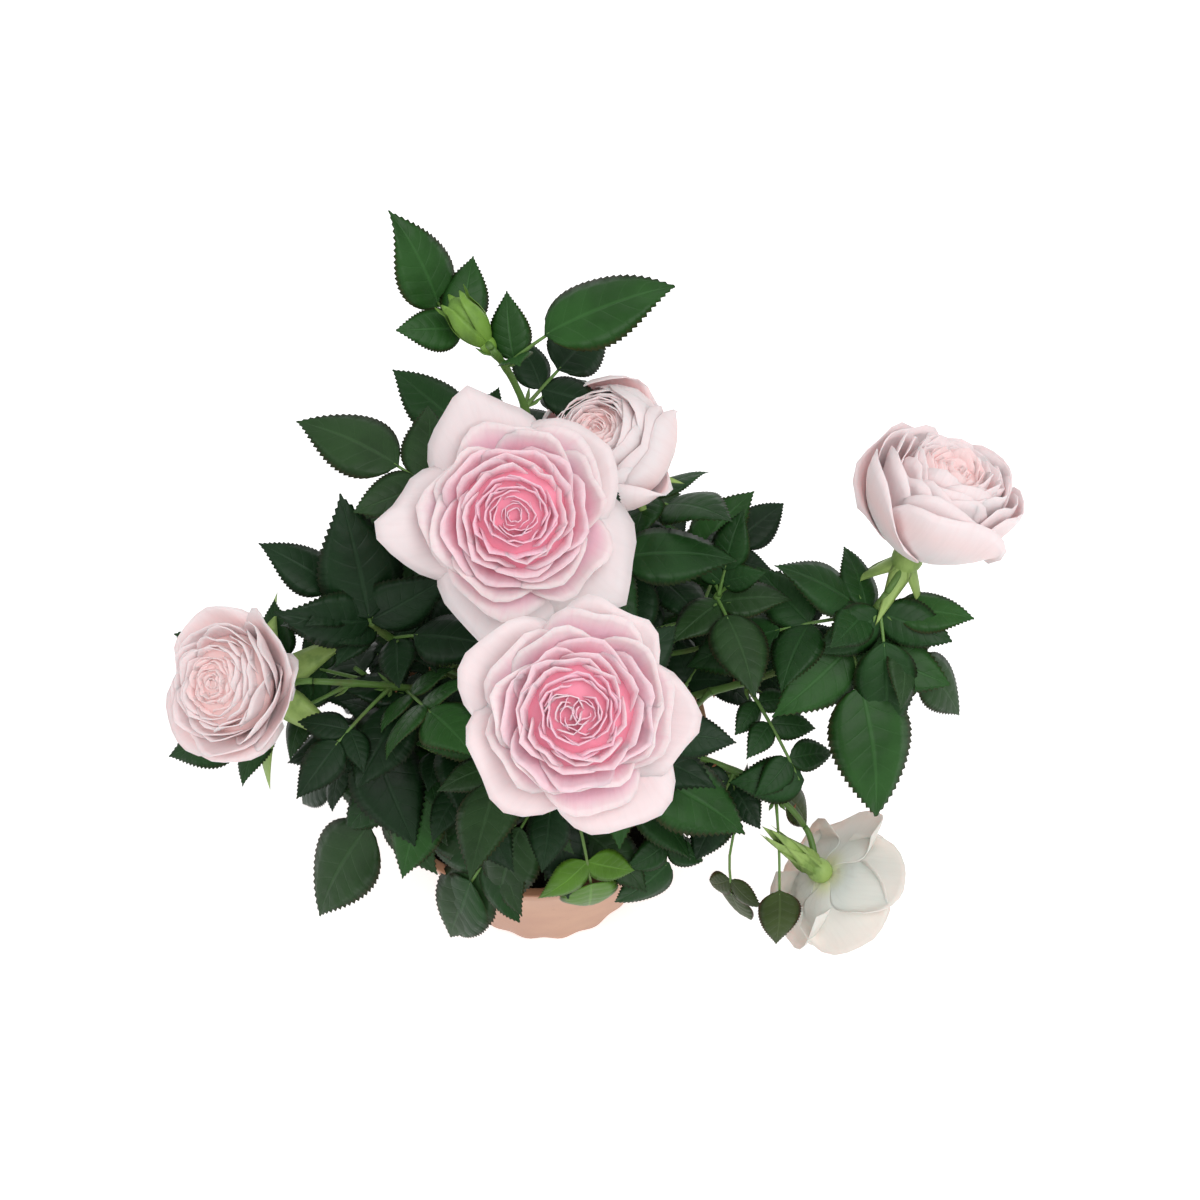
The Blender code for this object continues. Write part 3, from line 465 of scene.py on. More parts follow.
BLOOMS = (
    Bloom(
        "bloom_front", "front", (0.015, -0.066, 0.230), (0.015, -0.463, 0.886), 0.052,
        hearts=0.06, turn=20,
    ),
    Bloom(
        "bloom_upper", "upper", (-0.001, -0.003, 0.213), (0.057, -0.577, 0.815), 0.058,
        point=0.16, roll=0.08, palette="rosy", turn=-10,
    ),
    Bloom(
        "bloom_small", "small", (0.023, 0.037, 0.191), (-0.335, -0.200, 0.920), 0.045, 0.35, 0.20,
        cup=-0.07, palette="peach", bed=(0.22, 0.445), frill=0.6, roll=0.015, wrap=0.11,
        shown={"middle": (0.0198, 0.034, 0.1970), "width": 0.058},
    ),
    Bloom(
        "bloom_left", "left", (-0.081, -0.019, 0.156), (-0.699, -0.343, 0.628), 0.045, 0.8, 0.40, -10,
        cup=-0.01, palette="peach", long_sepals=0.70, sepal_drop=-24.0, sepal_turn=57.0,
        bed=(0.28, 0.372), frill=0.8, roll=0.03, wrap=0.05,
        shown={"middle": (-0.0826, -0.019, 0.157), "aim": (-0.46, -0.38, 0.80), "width": 0.050},
    ),
    Bloom(
        "bloom_right", "right", (0.112, 0.027, 0.184), (0.430, 0.620, 0.660), 0.050, 0.8, 0.34, -50,
        cup=0.06, palette="peach", long_sepals=0.38, sepal_drop=-48.0, sepal_turn=58.0,
        bed=(0.27, 0.49), frill=0.8, roll=0.015, wrap=0.12,
        shown={
            "middle": (0.1115, 0.0236, 0.1843), "aim": (0.291, 0.307, 0.908), "width": 0.059, "open": 0.65,
        },
    ),
    Bloom(
        "bloom_nodding", "nodding", (0.095, -0.048, 0.078), (0.453, -0.073, -0.888), 0.052, 0.9,
        palette="white", long_sepals=0.54, sepal_drop=-80.0, frill=0.45,
        shown={"middle": (0.0958, -0.0504, 0.0825), "aim": (0.68, -0.20, -0.70), "width": 0.050},
    ),
)
FINISHED_BLOOMS = tuple(replace(bloom, **bloom.shown) for bloom in BLOOMS)

# The finished petals, whorl by whorl: how many, how far out and how high their tips are, and half
# their width, as shares of the bloom's width, and which finish they have
PETAL_WHORLS = (
    (5, 0.500, 0.190, 0.275, 0),
    (5, 0.415, 0.250, 0.240, 1),
    (6, 0.360, 0.285, 0.205, 1),
    (7, 0.310, 0.310, 0.180, 2),
    (8, 0.262, 0.328, 0.155, 2),
    (8, 0.218, 0.340, 0.130, 2),
    (8, 0.176, 0.348, 0.110, 3),
    (8, 0.136, 0.352, 0.092, 3),
    (7, 0.098, 0.352, 0.078, 3),
    (5, 0.062, 0.348, 0.062, 3),
    (4, 0.030, 0.340, 0.048, 3),
)
HEART_WHORL = 8  # from this whorl in, the petals part into two hearts where a bloom has them
# the finish of the packed bed, whose colour is a painted glow of light through the petals
BED_FINISH = 4
# Section of the packed bed between the petals: shares of its radius and of its height
BED = (
    (0.0, 1.0), (0.40, 0.98), (0.68, 0.90), (0.90, 0.78),
    (1.0, 0.64), (0.94, 0.52), (0.50, 0.42), (0.0, 0.38),
)


# ---------------------------------------------------------------- settings


def srgb(red, green, blue):
    """The linear colour of three 8-bit sRGB values."""
    values = (red / 255, green / 255, blue / 255)
    return tuple(value / 12.92 if value <= 0.04045 else ((value + 0.055) / 1.055) ** 2.4 for value in values)


def tint(name, text, red, green, blue):
    """A colour that a user may change."""
    return FloatVectorProperty(
        name=name, description=text, subtype="COLOR", size=3, min=0.0, max=1.0, default=srgb(red, green, blue)
    )


def length(name, text, value, low=0.0, high=0.1):
    """A length that a user may change."""
    return FloatProperty(
        name=name, description=text, default=value, min=low, max=high, unit="LENGTH", precision=5
    )


def share(name, text, value, low=0.0, high=1.0):
    """A plain number that a user may change."""
    return FloatProperty(name=name, description=text, default=value, min=low, max=high)


def whole(name, text, value, high):
    """A whole number that a user may change."""
    return IntProperty(name=name, description=text, default=value, min=0, max=high)


def wattage(name, text, value):
    """A lamp's power that a user may change."""
    return FloatProperty(name=name, description=text, default=value, unit="POWER")


class RosePotSettings(bpy.types.PropertyGroup):
    """The pot and what fills it."""

    plastic: tint("Plastic", "Colour of the moulded pot", 176, 122, 92)
    worn: tint("Worn plastic", "Colour where the pot has faded", 194, 148, 120)
    soil: tint("Potting mix", "Colour of the damp potting mix", 36, 28, 22)
    crumbs: whole("Crumbs", "Loose crumbs on the potting mix", 420, 2000)
    edge: length("Edge", "Radius of the rounding on the pot's lip", 0.0005)


class RoseWoodSettings(bpy.types.PropertyGroup):
    """Canes, stems and leaf stalks."""

    green: tint("Green bark", "Colour of the young canes and stems", 84, 118, 52)
    brown: tint("Old bark", "Colour of the canes near the soil", 92, 76, 48)
    stalk: tint("Leaf stalks", "Colour of leaf stalks and stipules", 98, 134, 66)
    prickle: tint("Prickles", "Colour of the prickles", 134, 84, 56)
    swell: share("Nodes", "How far a cane swells where a leaf grows", 0.28)
    prickles: whole("Prickle count", "Prickles on each shoot", 9, 60)


class RoseLeafSettings(bpy.types.PropertyGroup):
    """Leaflets."""

    # Darker green: painted shade on the leaves inside the crown, and also a tone dealt out at random among
    # the sprays
    deep: tint("Deep green", "Leaves inside the crown", 20, 48, 22)
    mid: tint("Green", "Most of the leaves", 29, 66, 26)
    dusky: tint("Dusky green", "Older leaves", 40, 68, 34)
    bright: tint("Bright green", "Leaves at the tips of shoots", 40, 82, 32)
    fresh: tint("Fresh green", "Young leaves", 78, 120, 30)
    bronze: tint("Bronze", "Small new leaves", 58, 74, 32)
    under: tint("Underside", "The dull underside of every leaf", 86, 112, 78)
    rim: tint("Rim", "The reddish rim of new leaves", 84, 50, 34)
    teeth: share("Teeth", "How far the teeth stand out of a leaflet's rim", 0.030, 0.0, 0.1)
    tip: share("Tip", "How far a leaflet's tip bends down", 0.06, -0.2, 0.3)


class RoseBloomSettings(bpy.types.PropertyGroup):
    """Petals, sepals and the bud."""

    guard: tint("Guard petals", "The pale outer petals", 233, 216, 217)
    blush: tint("Blush", "The petals between guard and heart", 240, 194, 208)
    heart: tint("Heart", "The innermost petals", 244, 170, 190)
    throat: tint("Throat", "Deep between the petals", 238, 120, 142)
    peach: tint("Peach", "The hearts of the paler blooms", 252, 208, 206)
    white: tint("White", "The petals of the white bloom", 228, 222, 214)
    claw: tint("Claw", "The greenish foot of every petal", 224, 218, 168)
    sepal: tint("Sepals", "Sepals and hips", 148, 176, 96)
    bud: tint("Bud", "The sepals round the closed bud", 112, 152, 58)
    petal: length("Petal", "Thickness of a petal", 0.00025, 0.0001, 0.001)
    wave: share("Waves", "How wavy the petals' rims are", 0.024, 0.0, 0.1)


class RoseStudioSettings(bpy.types.PropertyGroup):
    """Floor, light and camera."""

    floor: tint("Floor", "Colour of the floor", 250, 250, 250)
    key: wattage("Key light", "Power of the large soft light", 8.0)
    fill: wattage("Fill light", "Power of the side light", 3.0)
    sky: share("Sky", "Strength of the light from all sides", 0.40, 0.0, 5.0)
    glow: share("Glow", "How far the floor shines by itself", 0.45)
    lens: share("Lens", "Focal length of the camera, in millimetres", 44.4, 10.0, 200.0)


# ---------------------------------------------------------------- the growing rule, as in the solids


def standing(point, aim):
    """The place at that point whose own Z axis looks along aim."""
    return Matrix.Translation(point) @ aim.to_track_quat("Z", "Y").to_matrix().to_4x4()


def towards(bearing, rise):
    """The level direction of that bearing, and the one that rises from it. Angles are in degrees."""
    turn, lift = math.radians(bearing), math.radians(rise)
    outward = Vector((math.cos(turn), math.sin(turn), 0.0))
    return outward, outward * math.cos(lift) + UP * math.sin(lift)


def sweep(bm, path, radii, sides):
    """Adds a closed tapering tube of that many sides along the path, and gives its rings in order."""
    along = (path[1] - path[0]).normalized()
    place = standing(path[0], along)
    ring = bmesh.ops.create_circle(bm, segments=sides, radius=radii[0], matrix=place)["verts"]
    rings = [ring]
    edges = list({edge for vert in ring for edge in vert.link_edges})
    ends = list(edges)
    for index in range(1, len(path)):
        ahead = (path[min(index + 1, len(path) - 1)] - path[index - 1]).normalized()
        turn = along.rotation_difference(ahead).to_matrix().to_4x4()
        grow = Matrix.Scale(radii[index] / radii[index - 1], 4)
        step = Matrix.Translation(path[index]) @ turn @ grow @ Matrix.Translation(-path[index - 1])
        grown = bmesh.ops.extrude_edge_only(bm, edges=edges)["geom"]
        ring = [item for item in grown if isinstance(item, bmesh.types.BMVert)]
        edges = [item for item in grown if isinstance(item, bmesh.types.BMEdge)]
        bmesh.ops.transform(bm, matrix=step, verts=ring)
        rings.append(ring)
        along = ahead
    bmesh.ops.holes_fill(bm, edges=ends + edges, sides=sides)
    return rings


@dataclass
class Blade:
    """A leaflet, sepal or petal: a thin lens between its root and its tip."""

    root: Vector
    tip: Vector
    face: Vector
    width: float
    thick: float = BLADE_THICK
    arch: float = BLADE_ARCH
    fold: float = BLADE_FOLD
    outline: tuple = LEAF_OUTLINE


def blade_axes(blade):
    """The blade's length, and the directions across it and off its face."""
    axis = blade.tip - blade.root
    side = blade.face.cross(axis).normalized()
    return axis, side, axis.cross(side).normalized()


def blade_point(blade, place, across, lift):
    """A point of the blade: its share of the length, share of half the width, and lift off it."""
    axis, side, over = blade_axes(blade)
    half = across * blade.width / 2
    height = 4 * blade.arch * axis.length * place * (1 - place) + blade.fold * abs(half) + lift
    return blade.root + axis * place + side * half + over * height


def add_blade(bm, blade, swell=0.0):
    """Adds the blade as the plain lens that the solids have, for testing what is clear."""
    count = 2 * len(blade.outline) + 2
    made = bmesh.ops.create_uvsphere(bm, u_segments=count, v_segments=2, radius=1.0)
    middle = sum(place[0] for place in blade.outline) / len(blade.outline)
    for vert in made["verts"]:
        step = round(math.atan2(vert.co.x, vert.co.y) / math.tau * count)
        if abs(vert.co.z) > 0.5:
            lift = math.copysign(blade.thick / 2 + swell, vert.co.z)
            vert.co = blade_point(blade, middle, 0.0, lift)
        elif step == 0:
            vert.co = blade_point(blade, 1.0 + swell / blade.width, 0.0, 0.0)
        elif abs(step) == count // 2:
            vert.co = blade.root
        else:
            place, across = blade.outline[-abs(step)]
            across = math.copysign(across + 2 * swell / blade.width, step)
            vert.co = blade_point(blade, place, across, 0.0)


def walk(path, place):
    """The point at that share of the path's length, and the direction there."""
    steps = [(end - start).length for start, end in zip(path, path[1:])]
    left = place * sum(steps)
    for index, step in enumerate(steps):
        if left <= step or index == len(steps) - 1:
            along = path[index + 1] - path[index]
            return path[index] + along * (left / step), along.normalized()
        left -= step


def stepped(start, end, steps):
    """Evenly stepped numbers from start to end, both of them in."""
    return [start + (end - start) * index / steps for index in range(steps + 1)]


def between(path, start, end, steps):
    """Evenly spaced points from one share of the path to another."""
    return [walk(path, place)[0] for place in stepped(start, end, steps)]


def shoot_curve(shoot):
    """The shoot's smooth line from the soil to its tip."""
    foot = Vector((*shoot.foot, SOIL_TOP + GAP))
    tip = Vector(shoot.tip)
    aim = Vector(shoot.aim).normalized()
    reach = (tip - foot).length
    return interpolate_bezier(foot, foot + UP * shoot.rise, tip - aim * reach / 3, tip, PATH_STEPS)


def shoot_path(shoot):
    """The shoot's line as the solids have it: CANE_STEPS steps of cane, then its stem."""
    curve = shoot_curve(shoot)
    cane = between(curve, 0.0, shoot.split, CANE_STEPS)
    return cane[:-1] + between(curve, shoot.split, 1.0, STEM_STEPS)


def leaf_face(along, outward, roll):
    """The way a leaf's upper side looks: to the sky, or to its stem where it stands up."""
    face = UP - outward * max(0.0, along.z)
    face = (face - along * face.dot(along)).normalized()
    return Matrix.Rotation(math.radians(roll), 3, along) @ face


def grow_leaf(path, leaf, seed):
    """The leaf's stalk as a path, and its blades."""
    rng = random.Random(seed)
    start, _ = walk(path, leaf.at)
    outward, along = towards(leaf.bearing, leaf.rise)
    face = leaf_face(along, outward, leaf.roll)
    tip = start + along * leaf.reach
    bow = face * leaf.arch * leaf.reach * 4 / 3
    third = along * leaf.reach / 3
    curve = interpolate_bezier(start, start + third + bow, tip - third + bow, tip, PATH_STEPS)
    bare = leaf.reach - leaf.blade
    stalk = between(curve, 0.0, bare / leaf.reach, STALK_STEPS)
    last = Matrix.Rotation(math.radians(leaf.kink), 3, face) @ (tip - stalk[-1])
    root = stalk[-1] - last.normalized() * ROOT_SUNK
    blades = [Blade(root, stalk[-1] + last, face, leaf.blade * BLADE_WIDTH)]
    for index in range(leaf.pairs):
        size = PAIR_SIZES[index]
        back = leaf.blade * (PAIR_FIRST + PAIR_STEP * index) / bare
        joint, ahead = walk(stalk, max(1 - back, PAIR_LOWEST))
        side = face.cross(ahead).normalized()
        for hand in (-1, 1):
            spread = math.radians(PAIR_SPREAD + rng.uniform(-SPREAD_JITTER, SPREAD_JITTER))
            reach = leaf.blade * leaf.small * size * (1 + rng.uniform(-SIZE_JITTER, SIZE_JITTER))
            out = ahead * math.cos(spread) + side * hand * math.sin(spread)
            out = (out + face * rng.uniform(-LIFT_JITTER, LIFT_JITTER)).normalized()
            hang = Matrix.Rotation(math.radians(leaf.droop * hand), 3, ahead)
            out = hang @ out
            root = joint - out * SIDE_SUNK
            blades.append(Blade(root, joint + out * reach, hang @ face, reach * BLADE_WIDTH))
    return stalk, blades


def tree_of(bm):
    """A search tree of the form, which is used up."""
    tree = BVHTree.FromBMesh(bm)
    bm.free()
    return tree


def leaf_tree(stalk, blades, swell):
    """A search tree round the leaf, swollen by the clearance that it keeps."""
    bm = bmesh.new()
    for blade in blades:
        add_blade(bm, blade, swell)
    outer = stalk[1:]
    sweep(bm, outer, [PETIOLE_RADIUS + swell] * len(outer), TWIG_SIDES)
    return tree_of(bm)


def tube_tree(path, radius):
    """A search tree round a path."""
    bm = bmesh.new()
    sweep(bm, path, [radius] * len(path), STALK_SIDES)
    return tree_of(bm)


def grow_twig(path, at, bearing, rise, reach):
    """A side twig: a short curve that leaves the shoot and turns upwards."""
    start, _ = walk(path, at)
    _, out = towards(bearing, rise)
    tip = start + (out + UP * TWIG_BEND).normalized() * reach
    third = reach / 3
    curve = interpolate_bezier(start, start + out * third, tip - UP * third, tip, PATH_STEPS)
    return between(curve, 0.0, 1.0, TWIG_STEPS)


def pot_tree():
    """The pot's two walls and the soil's top."""
    bm = bmesh.new()
    for offset in (LIP_PROUD + CLEAR, -POT_WALL - CLEAR):
        bmesh.ops.create_cone(
            bm,
            cap_ends=False,
            segments=POT_SEGMENTS,
            radius1=FOOT_RADIUS + offset,
            radius2=RIM_RADIUS + offset,
            depth=POT_HEIGHT + CLEAR,
            matrix=Matrix.Translation((0.0, 0.0, (POT_HEIGHT + CLEAR) / 2)),
        )
    level = Matrix.Translation((0.0, 0.0, SOIL_TOP + CLEAR))
    bmesh.ops.create_circle(bm, cap_ends=True, segments=SOIL_SEGMENTS, radius=RIM_RADIUS, matrix=level)
    return tree_of(bm)


def bloom_base(bloom):
    """Where the petals spring from, and the way the bloom faces."""
    aim = Vector(bloom.aim).normalized()
    depth = BLOOM_DEPTH + (1 - bloom.open) * CUP_DEPTH
    return Vector(bloom.middle) - aim * depth * bloom.width, aim


def around(aim, turn):
    """The direction square to aim at that angle round it."""
    side = aim.orthogonal().normalized()
    return Matrix.Rotation(math.radians(turn), 3, aim) @ side


def petal_blades(bloom):
    """The petals of the solid bloom."""
    base, aim = bloom_base(bloom)
    petals = []
    for index, (count, spread, height, broad) in enumerate(WHORLS):
        reach = spread * bloom.width
        tall = (height + (1 - bloom.open) * CUP_RISE) * bloom.width
        reach *= 1 - (1 - bloom.open) * CUP_CLOSE
        for number in range(count):
            out = around(aim, 360 * number / count + GOLDEN_TURN * index)
            chord = out * reach + aim * tall
            twist = Matrix.Rotation(PETAL_TWIST, 3, chord)
            face = twist @ (aim * reach - out * tall).normalized()
            blade = Blade(base + aim * PETAL_SEAT, base + chord, face, broad * bloom.width, PETAL_THICK)
            blade.arch, blade.fold, blade.outline = PETAL_ARCH, PETAL_FOLD, PETAL_OUTLINE
            petals.append(blade)
    return petals


def sepal_rays(aim, turn, rise):
    """For each sepal: the direction out from aim, the sepal's own, and its face's. Angles in degrees."""
    lift = math.radians(rise)
    for number in range(SEPALS):
        out = around(aim, 360 * number / SEPALS + turn)
        yield out, out * math.cos(lift) + aim * math.sin(lift), aim * math.cos(lift) - out * math.sin(lift)


def sepal_blades(bloom):
    """The sepals of the solid bloom."""
    base, aim = bloom_base(bloom)
    tips = [base + ray * bloom.sepals * bloom.width for _, ray, _ in sepal_rays(aim, SEPAL_TURN, bloom.lift)]
    return [Blade(base, tip, aim, SEPAL_WIDTH * bloom.width, outline=SEPAL_OUTLINE) for tip in tips]


def stalk_path(path, base, aim, steps=STALK_STEPS):
    """The flower stalk, from just past its shoot's tip to the bloom."""
    tip, along = walk(path, 1.0)
    start = tip + along * GAP
    third = (base - start).length / 3
    return interpolate_bezier(start, start + along * third, base - aim * third, base, steps + 2)


def bloom_tree(bloom, path):
    """A search tree round the solid bloom and its stalk."""
    bm = bmesh.new()
    base, aim = bloom_base(bloom)
    for blade in petal_blades(bloom) + sepal_blades(bloom):
        add_blade(bm, blade, CLEAR)
    stalk = stalk_path(path, base, aim)
    sweep(bm, stalk, [STALK_RADIUS + CLEAR] * len(stalk), STALK_SIDES)
    return tree_of(bm)


def bud_trees():
    """Search trees round the bud's egg and each of its sepals."""
    middle = Vector(BUD_MIDDLE)
    aim = Vector(BUD_AIM).normalized()
    base = middle - aim * BUD_LENGTH / 2
    size = Matrix.Diagonal((BUD_RADIUS + CLEAR, BUD_RADIUS + CLEAR, (BUD_LENGTH + 2 * CLEAR) / 2, 1.0))
    egg = bmesh.new()
    place = standing(middle, aim) @ size
    bmesh.ops.create_uvsphere(egg, u_segments=8, v_segments=5, radius=1.0, matrix=place)
    trees = [tree_of(egg)]
    root = base + aim * BUD_RADIUS / 2
    for out, ray, _ in sepal_rays(aim, 0.0, BUD_SEPAL_LIFT):
        sepal = bmesh.new()
        add_blade(sepal, Blade(root, base + ray * BUD_SEPAL_LENGTH, aim - out, BUD_SEPAL_WIDTH), CLEAR)
        trees.append(tree_of(sepal))
    return trees


class Crown:
    """What already stands, so that each new leaf is tested against it."""

    def __init__(self):
        self.standing = []

    def add(self, owner, tree):
        """Adds a search tree that belongs to that owner."""
        self.standing.append((owner, tree))

    def clear_of(self, tree, own):
        """Whether the tree keeps clear of all but the owners in own."""
        return not any(tree.overlap(other) for owner, other in self.standing if owner not in own)


@dataclass
class Mass:
    """The twigs and leaves on one shoot's stem."""

    twigs: list = field(default_factory=list)
    leaves: list = field(default_factory=list)  # stalk, blades, finish
    nodes: list = field(default_factory=list)  # where leaves leave the shoot


def within(space, points):
    """Whether every point lies in the space, an ellipsoid given by its middle and half sizes."""
    middle, half = space
    return all(
        sum(((point[axis] - middle[axis]) / half[axis]) ** 2 for axis in range(3)) <= 1.0 for point in points
    )


def try_leaf(crown, mass, name, path, leaf, seed, space=None, clear=CLEAR):
    """Grows the leaf on its mass if it keeps clear and stays in its space."""
    stalk, blades = grow_leaf(path, leaf, seed)
    if space and not within(space, [blade.tip for blade in blades]):
        return False
    tree = leaf_tree(stalk, blades, clear)
    own = (name,) if space else (name, name + "_leaf")
    if not crown.clear_of(tree, own):
        return False
    crown.add(name + "_leaf", tree)
    if leaf.shown:
        stalk, blades = grow_leaf(path, replace(leaf, **leaf.shown), seed)
    mass.leaves.append((stalk, blades, leaf.finish))
    return True


def seeded_leaf(rng, at, turn):
    """A leaf by the rule: its bearing turns on from the last, and it rises more near the tip."""
    return Leaf(
        at=at,
        bearing=turn + rng.uniform(-TURN_JITTER, TURN_JITTER),
        rise=rng.uniform(*SEEDED_RISE) + SEEDED_LIFT * at,
        reach=rng.uniform(*SEEDED_REACH),
        blade=rng.uniform(*SEEDED_BLADE),
        roll=rng.uniform(-SEEDED_ROLL, SEEDED_ROLL),
    )


def fill_mass(crown, mass, shoot, path):
    """Adds the leaves and side twigs that the seeded rule finds room for."""
    rng = random.Random(shoot.seed)
    space = (walk(path, ROOM_PLACE)[0], shoot.room)
    turn = rng.uniform(0, 360)
    low = shoot.split + FILL_START
    for index in range(shoot.fill):
        at = low + (FILL_TOP - low) * index / max(1, shoot.fill - 1)
        for _ in range(TRIES):
            turn += GOLDEN_TURN
            leaf = seeded_leaf(rng, at, turn)
            if try_leaf(crown, mass, shoot.name, path, leaf, rng.random(), space):
                mass.nodes.append(at)
                break
    for index in range(shoot.twigs):
        at = shoot.split + TWIG_START + TWIG_SPAN * index / shoot.twigs
        for _ in range(TRIES):
            turn += GOLDEN_TURN
            twig = grow_twig(path, at, turn, rng.uniform(*TWIG_RISE), rng.uniform(*TWIG_LENGTH))
            tree = tube_tree(twig[1:], STALK_RADIUS + CLEAR)
            if not within(space, twig[-1:]) or not crown.clear_of(tree, (shoot.name,)):
                continue
            mass.twigs.append(twig)
            mass.nodes.append(at)
            crown.add(shoot.name, tree)
            for place in TWIG_LEAVES:
                turn += GOLDEN_TURN
                leaf = seeded_leaf(rng, place, turn)
                try_leaf(crown, mass, shoot.name, twig, leaf, rng.random(), space)
            break


def fine_leaves(crown, mass, shoot, path):
    """Carries the shoot on to finer leaves in the room that is left."""
    rng = random.Random(shoot.seed + 100)
    middle = walk(path, ROOM_PLACE)[0]
    for index, leaf in enumerate(shoot.extra):
        for turned in EXTRA_TURNS:
            placed = replace(leaf, bearing=leaf.bearing + turned, rise=leaf.rise + turned / 3)
            seed = shoot.seed + 50 + index
            if try_leaf(crown, mass, shoot.name, path, placed, seed, (middle, ANYWHERE), FINE_CLEAR):
                mass.nodes.append(leaf.at)
                break
    space = (middle, shoot.room)
    turn = rng.uniform(0, 360)
    for index in range(shoot.fine):
        for _ in range(FINE_TRIES):
            turn += GOLDEN_TURN
            leaf = Leaf(
                at=shoot.split + (FILL_TOP - shoot.split) * rng.random(),
                bearing=turn,
                rise=rng.uniform(*FINE_RISE),
                reach=rng.uniform(*FINE_REACH),
                blade=rng.uniform(*FINE_BLADE),
                pairs=rng.choice((1, 2)),
                roll=rng.uniform(-SEEDED_ROLL, SEEDED_ROLL),
                # these finer leaves fill the inside of the crown, and their deep green is painted shade
                finish="deep",
            )
            if try_leaf(crown, mass, shoot.name, path, leaf, rng.random(), space, FINE_CLEAR):
                mass.nodes.append(leaf.at)
                break


@lru_cache(maxsize=1)
def grown():
    """Every shoot's path and mass, the solids' own leaves first and then the finer ones."""
    paths = {shoot.name: shoot_path(shoot) for shoot in SHOOTS}
    crown = Crown()
    crown.add("pot", pot_tree())
    for name, path in paths.items():
        crown.add(name, tube_tree(path, STEM_RADIUS + CLEAR))
    for bloom in BLOOMS:
        crown.add(bloom.name, bloom_tree(bloom, paths[bloom.shoot]))
    for tree in bud_trees():
        crown.add("bud_tip", tree)
    masses = {shoot.name: Mass() for shoot in SHOOTS}
    for shoot in SHOOTS:
        for index, leaf in enumerate(shoot.leaves):
            try_leaf(crown, masses[shoot.name], shoot.name, paths[shoot.name], leaf, shoot.seed + index)
            masses[shoot.name].nodes.append(leaf.at)
    for shoot in SHOOTS:
        fill_mass(crown, masses[shoot.name], shoot, paths[shoot.name])
    for shoot in SHOOTS:
        fine_leaves(crown, masses[shoot.name], shoot, paths[shoot.name])
    return paths, masses


# ---------------------------------------------------------------- materials


def principled(name, roughness, specular):
    """A node material, and its node tree and shader."""
    made = bpy.data.materials.new(name)
    made.use_nodes = True
    shader = made.node_tree.nodes["Principled BSDF"]
    shader.inputs["Roughness"].default_value = roughness
    shader.inputs["Specular IOR Level"].default_value = specular
    return made, made.node_tree, shader


def preset(node, **values):
    """Sets the node's inputs by name."""
    for key, value in values.items():
        node.inputs[key.replace("_", " ")].default_value = value
    return node


def add(tree, kind, **values):
    """A node of that kind, its inputs set by name."""
    return preset(tree.nodes.new(kind), **values)


def painted(tree, shader, colour, roughness=None):
    """Links the colour, and the roughness where it varies."""
    tree.links.new(colour, shader.inputs["Base Color"])
    if roughness is not None:
        tree.links.new(roughness, shader.inputs["Roughness"])


def shaded(colour, amount):
    """The colour made darker or lighter by that factor."""
    return tuple(min(1.0, amount * value) for value in colour)


def halfway(first, second):
    """The colour halfway between two."""
    return tuple((a + b) / 2 for a, b in zip(first, second))


def maths(tree, operation, first, second=0.0, third=None):
    """The result of a Math node whose inputs are sockets or numbers."""
    node = tree.nodes.new("ShaderNodeMath")
    node.operation = operation
    for index, value in enumerate((first, second, third)):
        if value is None:
            continue
        if isinstance(value, bpy.types.NodeSocket):
            tree.links.new(value, node.inputs[index])
        else:
            node.inputs[index].default_value = value
    return node.outputs[0]


def ranged(tree, value, low, high, start=0.0, end=1.0):
    """The value brought smoothly from one range to another and kept in it."""
    node = add(tree, "ShaderNodeMapRange", From_Min=low, From_Max=high, To_Min=start, To_Max=end)
    node.interpolation_type = "SMOOTHSTEP"
    tree.links.new(value, node.inputs["Value"])
    return node.outputs["Result"]


def mixed(tree, amount, first, second):
    """Two colours mixed. Each is a socket or a linear colour, and the amount is a socket."""
    node = tree.nodes.new("ShaderNodeMix")
    node.data_type = "RGBA"
    for name, value in (("Factor_Float", amount), ("A_Color", first), ("B_Color", second)):
        socket = next(item for item in node.inputs if item.identifier == name)
        if isinstance(value, bpy.types.NodeSocket):
            tree.links.new(value, socket)
        else:
            socket.default_value = (*value, 1.0)
    return next(item for item in node.outputs if item.identifier == "Result_Color")


def grain(tree, scale, detail=3.0, stretch=(1.0, 1.0, 1.0)):
    """Noise over the piece's own place, scale grains to the metre, finer or longer along each axis."""
    place = tree.nodes.new("ShaderNodeTexCoord").outputs["Object"]
    mapping = add(tree, "ShaderNodeMapping", Scale=stretch)
    tree.links.new(place, mapping.inputs["Vector"])
    node = add(tree, "ShaderNodeTexNoise", Scale=scale, Detail=detail)
    tree.links.new(mapping.outputs[0], node.inputs["Vector"])
    return node.outputs["Fac"]


def bumped(tree, shader, height, distance, strength):
    """Gives the surface that relief, at most that far in metres."""
    node = add(tree, "ShaderNodeBump", Distance=distance, Strength=strength)
    tree.links.new(height, node.inputs["Height"])
    tree.links.new(node.outputs[0], shader.inputs["Normal"])


def own_map(tree):
    """The two axes of the piece's own UV map."""
    source = tree.nodes.new("ShaderNodeUVMap")
    source.uv_map = UV_MAP
    split = tree.nodes.new("ShaderNodeSeparateXYZ")
    tree.links.new(source.outputs[0], split.inputs[0])
    return split.outputs["X"], split.outputs["Y"]


